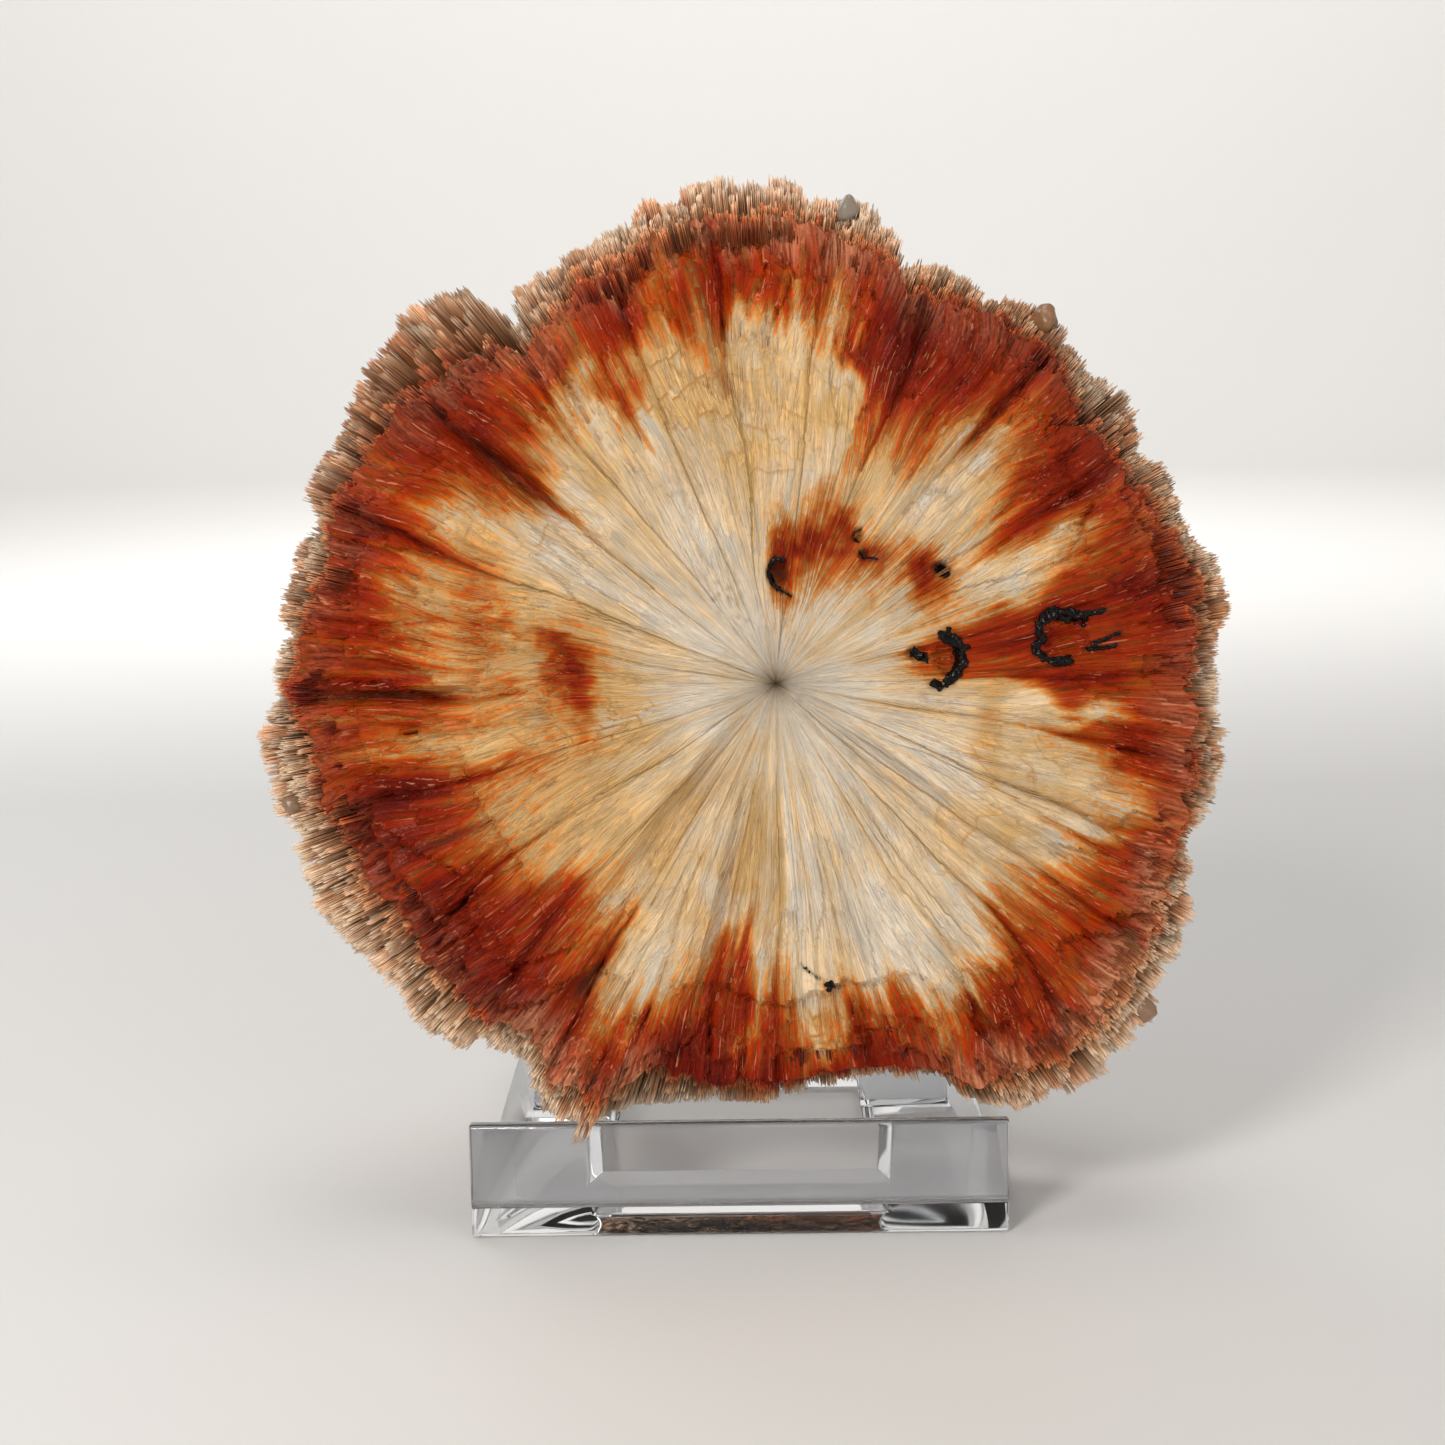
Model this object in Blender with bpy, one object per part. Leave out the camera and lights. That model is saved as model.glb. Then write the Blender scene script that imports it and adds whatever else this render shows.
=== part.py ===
"""Scolecite spray on a clear moulded easel stand.

The mineral is one intergrown piece: needles that radiate from a hub on a broken, fibrous face, with a
domed back and a toothed rim of needle ends. It leans on the rest of a clear stand and sits on its lip.
Sizes are in millimetres until a mesh is made. +X is right and +Y is away from the viewer.
"""

import bisect
import math
import random

import bmesh
import bpy
from mathutils import Matrix, Vector, noise

MM = 0.001
GAP = 0.3

# The stand, with its front bottom edge at y = 0 and its underside at z = 0
STAND_WIDTH = 74.5
STAND_DEPTH = 72.0
PLATE = 3.4
LIP_HEIGHT = 16.3
LIP_THICKNESS = 2.3
EDGE_ROUND = 0.7
INNER_FILLET = 1.8
WINDOW_WIDTH = 37.0
WINDOW_FRONT = 15.3
WINDOW_BACK = 60.0
WINDOW_FLARE = 2.2
REST_FOOT = 43.0
REST_THICKNESS = 3.0
REST_HEIGHT = 80.0
REST_FOOT_WIDTH = 65.0
REST_TOP_WIDTH = 54.0
REST_WINDOW_TOP = 46.0
REST_CORNER = 7.0
REST_WINDOW_CORNER = 4.0
REST_LEAN = math.radians(6)

# The spray: its hub, its lean and how deep it is behind the hub
HUB = Vector((5.9, 8.5, 76.1))
FACE_LEAN = math.radians(10)
DEPTH = 41.5
COLUMNS = 180
FACE_SHARES = (0, 0.07, 0.2, 0.34, 0.47, 0.52, 0.64, 0.74, 0.79, 0.88, 1)
FACE_RINGS = len(FACE_SHARES) - 1
DOME_RINGS = 10

# Relief of the face: how many swells go round the hub, how fast they change outwards, and their height
FANS = (5, 0.03, 2.2)
RIBS = (16, 0.05, 1.1)
FACE_REACH = 60.0
RIM_DROOP = 1.2
HUB_PIT = (2.5, 2.0)

# The rings between the face edge and the dome. For each: share of the way from the edge to the outline,
# how far it goes past that, how far behind the edge it lies, and how much a needle's own length moves it
RIM = (
    (0.05, 0.0, 0.0, 0.0),
    (0.55, 0.0, 1.2, 0.3),
    (1.0, 0.7, 3.0, 1.3),
    (1.0, -1.6, 5.6, -0.8),
)
RINGS = FACE_RINGS + len(RIM) + DOME_RINGS
EDGE_MARGIN = 1.5

# Needles in neighbouring columns stand out and back by this much, on top of their random lengths
TOOTH = 0.6

# The dome: where it starts behind the rim, its radius, how square its shoulders are, and its lumps
DOME_START = math.radians(14)
DOME_RADIUS = 66.0
DOME_SHOULDER = 0.78
DOME_FLATNESS = 0.95
DOME_SPIKE = 0.9
LUMP_HEIGHT = 2.2
LUMP_PER_MM = 0.09

# Reach of the needle tips from the hub: degrees anticlockwise from +X, and radius
OUTLINE = (
    (3, 61.8), (9, 63.0), (18, 61.5), (21, 60.2), (25, 61.4), (30, 61.3), (32, 60.2), (35, 62.5),
    (38, 62.4), (43, 61.5), (50, 63.0), (56, 62.5), (60, 60.5), (65, 61.5), (68, 61.4), (71, 59.5), (72, 58.8),
    (74, 62.6), (78, 66.2), (80, 67.5), (84, 67.0), (85, 66.0), (87, 69.0), (89, 69.9), (91, 68.6),
    (95, 70.0), (99, 69.9), (101, 68.0), (104, 68.2), (107, 66.6), (110, 66.9), (113, 65.4), (115, 66.4),
    (117, 65.2), (120, 66.0), (123, 65.6), (124, 62.0), (126, 61.2), (127, 65.5), (128, 69.8),
    (131, 70.9), (134, 72.0), (138, 71.3), (142, 71.4), (149, 70.3), (157, 70.0), (159, 67.3),
    (161, 66.5), (162, 68.9), (167, 68.2), (171, 69.2), (173, 67.4), (177, 69.8), (180, 68.8),
    (183, 70.2), (186, 71.9), (194, 71.7), (195, 69.5), (201, 71.0), (208, 71.5), (210, 69.8),
    (215, 68.7), (224, 68.7), (228, 67.5), (229, 64.3), (233, 63.9), (236, 62.8), (238, 63.6),
    (242, 67.0), (246, 68.0), (247, 67.1), (249, 64.6), (252, 62.4), (257, 58.9), (260, 58.0),
    (265, 59.3), (267, 58.7), (270, 56.2), (281, 55.7), (286, 56.6), (290, 58.2), (293, 60.0),
    (295, 65.0), (299, 67.0), (305, 69.2), (312, 68.5), (318, 69.2), (320, 66.2), (325, 66.2),
    (328, 65.7), (334, 63.4), (337, 60.9), (340, 60.7), (345, 63.0), (348, 63.4), (352, 62.3), (355, 61.2),
)

# Edge of the broken face: degrees, radius, and how far the needle fringe lies behind it there
FACE_EDGE = (
    (0, 55.9, 3.5), (12, 58.5, 1.6), (20, 57.5, 1.2), (30, 56.0, 3.0), (40, 55.5, 3.2), (50, 58.5, 2.0),
    (58, 58.6, 0.9), (70, 56.0, 1.0), (78, 60.7, 0.8), (90, 65.0, 0.6), (100, 64.5, 0.6),
    (110, 62.0, 1.2), (118, 59.0, 3.0), (126, 56.6, 4.0), (132, 61.0, 2.2), (140, 62.5, 1.8),
    (147, 64.0, 4.5), (160, 64.8, 5.0), (166, 64.2, 2.6), (180, 66.0, 1.6), (192, 63.5, 3.2),
    (202, 63.0, 4.5), (212, 60.6, 5.5), (222, 61.2, 5.0), (229, 61.0, 6.0), (234, 57.6, 6.0),
    (240, 61.5, 2.0), (246, 62.4, 1.0), (251, 55.6, 5.0), (262, 55.2, 5.0), (272, 55.0, 3.5),
    (284, 55.0, 4.0), (291, 57.0, 4.5), (297, 62.5, 1.2), (310, 64.0, 0.8), (324, 62.5, 0.9),
    (336, 59.6, 1.2), (346, 58.6, 3.5),
)

# Troughs that run outwards on the face: degrees, half width, first and last radius, depth
TROUGHS = (
    (322, 2.2, 12, 46, 2.4), (233, 2.4, 9, 42, 2.2), (256, 1.5, 14, 52, 2.0), (181, 1.2, 34, 70, 1.8),
    (141, 1.8, 30, 60, 1.5), (98, 2.0, 30, 58, 1.4), (50, 1.6, 28, 56, 1.3), (297, 1.6, 30, 60, 1.4),
)

# Ledges where the face broke across its needles: middle, half width, radius of the step, drop beyond it
LEDGES = (
    (272, 26, 43.5, 1.6), (184, 17, 29.0, 0.9), (205, 22, 44.0, 1.5), (88, 14, 44.0, 1.1),
    (30, 12, 43.5, 1.0), (341, 16, 45.0, 1.0), (146, 12, 29.0, 0.8),
)

# The lobe whose needle tips hang in front of the stand's lip: middle, half width, where its swell starts
# and is full, and the swell
LOBE = (244, 8, 50.0, 60.0, 3.2)

# Pits lined with dark crust: degrees, radius from the hub, and radius of the pit. Their balls' centres
# stand this share of their radius out of the face.
PIT_OUT = 0.25
PITS = (
    (89.5, 14.6, 1.9), (57, 22.3, 1.6), (34.5, 27.3, 1.5), (11.3, 19.6, 1.4), (7.0, 24.6, 2.4),
    (8.5, 40.0, 2.9),
)

# Rounded glassy grains that grow among the needle tips, this far behind the fringe: degrees, radius, size
GRAIN_BEHIND = 2.8
GRAINS = ((52.8, 63.4, 2.2), (80.5, 66.8, 1.9), (317.7, 68.6, 1.9), (193.1, 70.2, 1.9))

STONE_COLOUR = (0.62, 0.27, 0.11, 1.0)
CLEAR_COLOUR = (0.93, 0.95, 0.98, 1.0)


def round_table(table, degrees, column=1):
    """Value of a table that runs round the hub, eased between its rows."""
    degrees %= 360
    last = bisect.bisect_right([row[0] for row in table], degrees)
    before, after = table[last - 1], table[last % len(table)]
    span = (after[0] - before[0]) % 360
    share = ((degrees - before[0]) % 360) / span
    share *= share * (3 - 2 * share)
    return before[column] + (after[column] - before[column]) * share


def turn_between(a, b):
    """Smallest turn between two directions, in degrees."""
    return abs((a - b + 180) % 360 - 180)


def spray_to_world(right, up, out):
    """A point given along the leaning face and out of it towards the viewer, as a point in space."""
    lean = Matrix.Rotation(-FACE_LEAN, 3, "X")
    return HUB + lean @ Vector((right, -out, up))


def face_relief(degrees, radius):
    """Height of the broken face above its plane: fans of needles, troughs between them and the hub pit."""
    angle = math.radians(degrees)
    share = min(radius / FACE_REACH, 1)
    height = -RIM_DROOP * share**3
    for around, outwards, swell in (FANS, RIBS):
        place = Vector((math.cos(angle) * around, math.sin(angle) * around, radius * outwards))
        height += share * swell * noise.noise(place)
    for middle, half_width, first, last, depth in TROUGHS:
        across = turn_between(degrees, middle) * math.radians(radius) / half_width
        if first < radius < last and across < 1:
            along = math.sin(math.pi * (radius - first) / (last - first))
            height -= depth * along * (1 - across**2)
    for middle, half_width, edge, drop in LEDGES:
        across = turn_between(degrees, middle) / half_width
        if across < 1 and radius > edge:
            height -= drop * (1 - across**2)
    middle, half_width, first, full, swell = LOBE
    across = turn_between(degrees, middle) / half_width
    if across < 1 and radius > first:
        height += swell * (1 - across**2) * min((radius - first) / (full - first), 1)
    pit_radius, pit_depth = HUB_PIT
    return height - pit_depth * math.exp(-((radius / pit_radius) ** 2))


def face_edge(degrees):
    """Radius of the broken face's edge, which stays inside the tips."""
    return min(round_table(FACE_EDGE, degrees), round_table(OUTLINE, degrees) - EDGE_MARGIN)


def rim_profile(degrees, ring, spike):
    """The rings between the face edge and the dome: step, fringe, tips and the hollow behind them."""
    out_share, past, behind, of_spike = RIM[ring]
    edge = face_edge(degrees)
    step = round_table(FACE_EDGE, degrees, 2)
    radius = edge + out_share * (round_table(OUTLINE, degrees) - edge) + past + of_spike * spike
    return radius, face_relief(degrees, edge) - step - behind


def dome_profile(degrees, share, spike):
    """The domed back, from the rim at share 0 to the pole behind the hub at share 1."""
    turn = DOME_START + (math.pi / 2 - DOME_START) * share
    reach = DOME_RADIUS + (1 - share) ** 2 * (round_table(OUTLINE, degrees) - DOME_RADIUS)
    radius = reach * math.cos(turn) ** DOME_SHOULDER
    behind = DEPTH * math.sin(turn) ** DOME_FLATNESS
    angle = math.radians(degrees)
    place = Vector((radius * math.cos(angle), radius * math.sin(angle), behind))
    lump = noise.noise(place * LUMP_PER_MM) + 0.5 * noise.noise(2 * place * LUMP_PER_MM)
    swell = 1 + (LUMP_HEIGHT * (lump - 1) + DOME_SPIKE * spike) / place.length
    return radius * swell, -behind * swell


def spray_point(degrees, ring, spike):
    """Place of one grid point of the spray, by its direction round the hub and its ring."""
    beyond = ring - FACE_RINGS
    if beyond <= 0:
        radius = face_edge(degrees) * FACE_SHARES[ring]
        out = face_relief(degrees, radius)
    elif beyond <= len(RIM):
        radius, out = rim_profile(degrees, beyond - 1, spike)
    else:
        share = (beyond - len(RIM)) / DOME_RINGS
        radius, out = dome_profile(degrees, share, spike if share < 1 else 0)
    angle = math.radians(degrees)
    return spray_to_world(radius * math.cos(angle), radius * math.sin(angle), out)


def in_front_of_rest(point):
    """The same point, moved forwards if it would reach through the front of the stand's rest."""
    normal = Vector((0, -math.cos(REST_LEAN), math.sin(REST_LEAN)))
    foot = Vector((0, REST_FOOT, PLATE))
    short = (point - foot).dot(normal) - GAP
    return point - normal * short if short < 0 else point


def new_object(name, mesh, collection):
    thing = bpy.data.objects.new(name, mesh)
    collection.objects.link(thing)
    return thing


def mesh_from(bm, name):
    mesh = bpy.data.meshes.new(name)
    bmesh.ops.recalc_face_normals(bm, faces=bm.faces)
    bm.to_mesh(mesh)
    bm.free()
    return mesh


def add_boolean(thing, operation, other):
    change = thing.modifiers.new(f"{operation.lower()}_{other.name}", "BOOLEAN")
    change.operation = operation
    change.object = other
    change.solver = "EXACT"


def as_helper(thing):
    """Keeps a cutter or a joined shape out of the render."""
    thing.hide_render = True
    thing.display_type = "WIRE"
    return thing


def ball(name, centre, radius, collection):
    bm = bmesh.new()
    bmesh.ops.create_icosphere(bm, subdivisions=2, radius=radius * MM)
    bmesh.ops.translate(bm, vec=centre * MM, verts=bm.verts)
    return as_helper(new_object(name, mesh_from(bm, name), collection))


def on_face(degrees, radius, out):
    """A point that far in front of the face."""
    angle = math.radians(degrees)
    height = face_relief(degrees, radius) + out
    return spray_to_world(radius * math.cos(angle), radius * math.sin(angle), height)


def make_spray(parts, helpers):
    """The mineral: a sphere grid pulled to the spray's shape, so that each column runs along a needle."""
    bm = bmesh.new()
    bmesh.ops.create_uvsphere(bm, u_segments=COLUMNS, v_segments=RINGS, radius=1)
    dice = random.Random(7)
    spikes = [[dice.uniform(-1, 1) for _ in range(RINGS + 1)] for _ in range(COLUMNS)]
    for vertex in bm.verts:
        polar = math.acos(max(-1, min(1, vertex.co.z)))
        ring = round(polar / math.pi * RINGS)
        degrees = math.degrees(math.atan2(vertex.co.y, vertex.co.x)) % 360
        column = round(degrees / 360 * COLUMNS) % COLUMNS
        spike = spikes[column][ring] + (TOOTH if (column + ring) % 2 else -TOOTH)
        vertex.co = in_front_of_rest(spray_point(degrees, ring, spike)) * MM
    spray = new_object("scolecite_spray", mesh_from(bm, "scolecite_spray"), parts)

    for index, (degrees, radius, size) in enumerate(GRAINS):
        step = round_table(FACE_EDGE, degrees, 2)
        grain = ball(f"grain_{index + 1}", on_face(degrees, radius, -step - GRAIN_BEHIND), size, helpers)
        add_boolean(spray, "UNION", grain)
    for index, (degrees, radius, size) in enumerate(PITS):
        pit = ball(f"pit_{index + 1}", on_face(degrees, radius, PIT_OUT * size), size, helpers)
        add_boolean(spray, "DIFFERENCE", pit)

    add_boolean(spray, "DIFFERENCE", lip_room(helpers))
    spray.data.materials.append(stone_material())
    return spray


def lip_room(helpers):
    """The space that the lip and base take, with a gap, which the spray is cut away from."""
    bm = bmesh.new()
    bmesh.ops.create_cube(bm, size=1)
    room = Vector((STAND_WIDTH + 2 * EDGE_MARGIN, STAND_DEPTH, LIP_HEIGHT + GAP))
    bmesh.ops.scale(bm, vec=room * MM, verts=bm.verts)
    middle = Vector((0, STAND_DEPTH / 2 - GAP, room.z / 2))
    bmesh.ops.translate(bm, vec=middle * MM, verts=bm.verts)
    return as_helper(new_object("lip_room", mesh_from(bm, "lip_room"), helpers))


def arc(centre, radius, first, last, steps=5):
    """Points on a round corner, from one direction to another in degrees."""
    turns = [math.radians(first + (last - first) * i / steps) for i in range(steps + 1)]
    return [(centre[0] + radius * math.cos(t), centre[1] + radius * math.sin(t)) for t in turns]


def extruded(name, outline, thickness, collection):
    """A flat outline given a thickness along its own Z and made a closed mesh."""
    curve = bpy.data.curves.new(name, "CURVE")
    curve.dimensions = "2D"
    curve.fill_mode = "BOTH"
    curve.extrude = thickness / 2 * MM
    spline = curve.splines.new("POLY")
    spline.points.add(len(outline) - 1)
    for point, (x, y) in zip(spline.points, outline):
        point.co = (x * MM, y * MM, 0, 1)
    spline.use_cyclic_u = True
    drawn = new_object(name + "_outline", curve, collection)
    graph = bpy.context.evaluated_depsgraph_get()
    bm = bmesh.new()
    bm.from_mesh(bpy.data.meshes.new_from_object(drawn.evaluated_get(graph)))
    bmesh.ops.remove_doubles(bm, verts=bm.verts, dist=1e-6)
    bpy.data.objects.remove(drawn)
    return new_object(name, mesh_from(bm, name), collection)


def lip_and_base_outline():
    """Side view of the stand's lip and base plate, as (y, z)."""
    soft = EDGE_ROUND
    fillet = (LIP_THICKNESS + INNER_FILLET, PLATE + INNER_FILLET)
    return [
        *arc((soft, soft), soft, 270, 180),
        *arc((soft, LIP_HEIGHT - soft), soft, 180, 90),
        *arc((LIP_THICKNESS - soft, LIP_HEIGHT - soft), soft, 90, 0),
        *arc(fillet, INNER_FILLET, 180, 270),
        *arc((STAND_DEPTH - soft, PLATE - soft), soft, 90, 0),
        *arc((STAND_DEPTH - soft, soft), soft, 0, -90),
    ]


def rest_outline():
    """Front view of the rest, as (x, height): a tapering frame that stands on the base's two bars."""
    half_foot, half_top = REST_FOOT_WIDTH / 2, REST_TOP_WIDTH / 2
    taper = math.degrees(math.atan((half_foot - half_top) / REST_HEIGHT))
    corner = (half_top - REST_CORNER, REST_HEIGHT - REST_CORNER)
    sunk = -PLATE / 2
    half_window = WINDOW_WIDTH / 2
    inner = (half_window - REST_WINDOW_CORNER, REST_WINDOW_TOP - REST_WINDOW_CORNER)
    right = [(half_foot, sunk), *arc(corner, REST_CORNER, taper, 90)]
    left = [(-x, z) for x, z in reversed(right)]
    inside = [(half_window, sunk), *arc(inner, REST_WINDOW_CORNER, 0, 90)]
    inside_left = [(-x, z) for x, z in reversed(inside)]
    return right + left + list(reversed(inside + inside_left))


def window_cutter(helpers):
    """The opening in the base plate, wider at the underside than on top."""
    bm = bmesh.new()
    bmesh.ops.create_cube(bm, size=1)
    for vertex in bm.verts:
        height = -GAP if vertex.co.z < 0 else PLATE + GAP
        flare = WINDOW_FLARE * (PLATE - height) / PLATE
        half_width = WINDOW_WIDTH / 2 + flare
        y = WINDOW_FRONT - flare if vertex.co.y < 0 else WINDOW_BACK + flare
        vertex.co = Vector((math.copysign(half_width, vertex.co.x), y, height)) * MM
    return as_helper(new_object("window_cutter", mesh_from(bm, "window_cutter"), helpers))


def make_stand(parts, helpers):
    """The clear stand, moulded in one: lip, base plate with its window, and the leaning rest."""
    stand = extruded("easel_stand", lip_and_base_outline(), STAND_WIDTH, parts)
    # The outline's X and Y become the stand's Y and Z, and its thickness runs along X.
    stand.data.transform(Matrix(((0, 0, 1, 0), (1, 0, 0, 0), (0, 1, 0, 0), (0, 0, 0, 1))))

    rest = as_helper(extruded("rest", rest_outline(), REST_THICKNESS, helpers))
    upright = Matrix.Rotation(math.radians(90) - REST_LEAN, 4, "X")
    behind_front = Matrix.Translation((0, 0, -REST_THICKNESS / 2 * MM))
    foot = Matrix.Translation(Vector((0, REST_FOOT, PLATE)) * MM)
    rest.data.transform(foot @ upright @ behind_front)

    add_boolean(stand, "UNION", rest)
    add_boolean(stand, "DIFFERENCE", window_cutter(helpers))
    stand.data.materials.append(clear_material())
    return stand


def plain_material(name, colour, roughness):
    material = bpy.data.materials.new(name)
    material.use_nodes = True
    shader = material.node_tree.nodes["Principled BSDF"]
    shader.inputs["Base Color"].default_value = colour
    shader.inputs["Roughness"].default_value = roughness
    shader.inputs["Metallic"].default_value = 0.0
    return material


def stone_material():
    return plain_material("scolecite", STONE_COLOUR, 0.45)


def clear_material():
    material = plain_material("clear_plastic", CLEAR_COLOUR, 0.04)
    shader = material.node_tree.nodes["Principled BSDF"]
    shader.inputs["Transmission Weight"].default_value = 1.0
    shader.inputs["IOR"].default_value = 1.49
    return material


def centre_on_floor(things, helpers):
    """Puts the middle of everything's footprint at the origin, with the underside at z = 0."""
    bpy.context.view_layer.update()
    graph = bpy.context.evaluated_depsgraph_get()
    corners = []
    for thing in things:
        seen = thing.evaluated_get(graph)
        corners += [seen.matrix_world @ Vector(corner) for corner in seen.bound_box]
    low = Vector([min(corner[i] for corner in corners) for i in range(3)])
    high = Vector([max(corner[i] for corner in corners) for i in range(3)])
    shift = Vector(((low.x + high.x) / 2, (low.y + high.y) / 2, low.z))
    for thing in [*things, *helpers.objects]:
        thing.location -= shift


def main():
    for thing in list(bpy.data.objects):
        bpy.data.objects.remove(thing)
    parts = bpy.data.collections.new("scolecite_specimen")
    helpers = bpy.data.collections.new("cutters")
    bpy.context.scene.collection.children.link(parts)
    bpy.context.scene.collection.children.link(helpers)
    spray = make_spray(parts, helpers)
    stand = make_stand(parts, helpers)
    centre_on_floor([spray, stand], helpers)


main()
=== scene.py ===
import math

import bmesh
import bpy
import numpy as np
from mathutils import Matrix, Vector, noise


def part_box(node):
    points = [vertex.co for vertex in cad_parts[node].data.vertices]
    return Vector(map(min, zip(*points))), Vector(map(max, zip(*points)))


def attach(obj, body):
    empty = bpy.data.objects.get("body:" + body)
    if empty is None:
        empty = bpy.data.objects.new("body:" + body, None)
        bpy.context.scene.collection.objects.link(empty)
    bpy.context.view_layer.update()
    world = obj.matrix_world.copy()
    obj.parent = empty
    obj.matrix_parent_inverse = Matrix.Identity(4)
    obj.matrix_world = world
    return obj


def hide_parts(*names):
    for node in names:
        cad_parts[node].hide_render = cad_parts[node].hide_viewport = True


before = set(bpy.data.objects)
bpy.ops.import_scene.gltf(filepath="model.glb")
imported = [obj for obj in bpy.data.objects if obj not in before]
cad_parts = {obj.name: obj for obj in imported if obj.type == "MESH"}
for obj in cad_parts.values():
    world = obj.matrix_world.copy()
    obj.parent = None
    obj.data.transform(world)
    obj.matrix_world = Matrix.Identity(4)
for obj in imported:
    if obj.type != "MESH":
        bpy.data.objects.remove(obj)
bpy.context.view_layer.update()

# A radial spray of scolecite needles that leans on a clear moulded easel.
# The spray is worked out in millimetres round its hub: right, up and out of its broken face.

mm = 0.001
standLow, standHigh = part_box("easel_stand")
# Middle of the lip's front bottom edge
lipFoot = Vector(((standLow.x + standHigh.x) / 2, standLow.y, standLow.z))

spray = {
    "hub": (5.9, 8.5, 76.1),  # from the lip's foot
    "leanDegrees": 10,
    "depth": 41.5,
    "domeRadius": 66.0,
    "domeStartDegrees": 14,
    "lumps": 2.2,  # mm that the back swells and sinks
    "seatHeight": 16.6,  # nothing of the spray goes below this where the stand is under it
}

# Reach of the needle tips: degrees anticlockwise from the right, and radius
outline = (
    (3, 61.8), (9, 63.0), (18, 61.5), (21, 60.2), (25, 61.4), (30, 61.3), (32, 60.2), (35, 62.5),
    (38, 62.4), (43, 61.5), (50, 63.0), (56, 62.5), (60, 60.5), (65, 61.5), (68, 61.4), (71, 59.5),
    (72, 58.8), (74, 62.6), (78, 66.2), (80, 67.5), (84, 67.0), (85, 66.0), (87, 69.0), (89, 69.9),
    (91, 68.6), (95, 70.0), (99, 69.9), (101, 68.0), (104, 68.2), (107, 66.6), (110, 66.9), (113, 65.4),
    (115, 66.4), (117, 65.2), (120, 66.0), (123, 65.6), (124, 62.0), (126, 61.2), (127, 65.5), (128, 69.8),
    (131, 70.9), (134, 72.0), (138, 71.3), (142, 71.4), (149, 70.3), (157, 70.0), (159, 67.3), (161, 66.5),
    (162, 68.9), (167, 68.2), (171, 69.2), (173, 67.4), (177, 69.8), (180, 68.8), (183, 70.2), (186, 71.9),
    (194, 71.7), (195, 69.5), (201, 71.0), (208, 71.5), (210, 69.8), (215, 68.7), (224, 68.7), (228, 67.5),
    (229, 64.3), (233, 63.9), (236, 62.8), (238, 63.6), (242, 67.0), (246, 68.0), (247, 67.1), (249, 64.6),
    (252, 62.4), (257, 58.9), (260, 58.0), (265, 59.3), (267, 58.7), (270, 56.2), (281, 55.7), (286, 56.6),
    (290, 58.2), (293, 60.0), (295, 65.0), (299, 67.0), (305, 69.2), (312, 68.5), (318, 69.2), (320, 66.2),
    (325, 66.2), (328, 65.7), (334, 63.4), (337, 60.9), (340, 60.7), (345, 63.0), (348, 63.4), (352, 62.3),
    (355, 61.2),
)

# Edge of the broken face: degrees, radius, and how far the needle fringe lies behind it
faceEdge = (
    (0, 55.9, 3.5), (12, 58.5, 1.6), (20, 57.5, 1.2), (30, 56.0, 3.0), (40, 55.5, 3.2), (50, 58.5, 2.0),
    (58, 58.6, 0.9), (70, 56.0, 1.0), (78, 60.7, 0.8), (90, 65.0, 0.6), (100, 64.5, 0.6),
    (110, 62.0, 1.2), (118, 59.0, 3.0), (126, 56.6, 4.0), (132, 61.0, 2.2), (140, 62.5, 1.8),
    (147, 64.0, 4.5), (160, 64.8, 5.0), (166, 64.2, 2.6), (180, 66.0, 1.6), (192, 63.5, 3.2),
    (202, 63.0, 4.5), (212, 60.6, 5.5), (222, 61.2, 5.0), (229, 61.0, 6.0), (234, 57.6, 6.0),
    (240, 61.5, 2.0), (246, 62.4, 1.0), (251, 55.6, 5.0), (262, 55.2, 5.0), (272, 55.0, 3.5),
    (284, 55.0, 4.0), (291, 57.0, 4.5), (297, 62.5, 1.2), (310, 64.0, 0.8), (324, 62.5, 0.9),
    (336, 59.6, 1.2), (346, 58.6, 3.5),
)

# Troughs along the needles: degrees, half width, first and last radius, depth
troughs = (
    (322, 2.2, 3, 46, 2.2), (233, 2.4, 2, 42, 2.0), (256, 1.5, 12, 52, 2.0), (181, 1.2, 34, 70, 1.8),
    (141, 1.8, 30, 60, 1.5), (98, 2.0, 30, 58, 1.4), (50, 1.6, 28, 56, 1.3), (297, 1.6, 30, 60, 1.4),
)

# Ledges across the needles: middle, half width, radius of the step, drop beyond it, and mm that it takes
ledges = (
    (272, 26, 43.5, 1.6, 0.6), (184, 17, 29.0, 0.9, 2.5), (205, 22, 44.0, 1.5, 1.0), (88, 14, 44.0, 1.1, 5.0),
    (30, 12, 43.5, 1.0, 5.0), (341, 16, 45.0, 1.0, 4.0), (146, 12, 29.0, 0.8, 3.0), (177, 17, 39.7, 0.5, 0.7),
    (285, 18, 50.5, 0.9, 0.5), (224, 16, 52.0, 0.9, 0.7),
)
lobe = (244, 8, 50.0, 60.0, 3.2)  # hangs over the lip: middle, half width, first and full radius, swell

# Pits: right, up, radius, depth, and how black they are inside
pits = (
    (0.5, 15.0, 1.6, 1.2, 0.5), (11.4, 20.1, 0.8, 0.8, 0.4), (12.1, 17.6, 0.7, 0.8, 0.6),
    (22.8, 15.3, 1.1, 1.0, 0.8), (19.2, 3.9, 1.3, 1.0, 0.3), (23.4, 3.0, 2.0, 1.4, 0.1),
    (39.8, 6.0, 2.9, 1.2, 0.0),
)


def aroundTable(table, degrees, column=1):
    rows = np.array(table)
    return np.interp(degrees, rows[:, 0], rows[:, column], period=360)


def softStep(low, high, value):
    share = np.clip((value - low) / (high - low), 0, 1)
    return share * share * (3 - 2 * share)


mostBits = 0xFFFFFFFF


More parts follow.
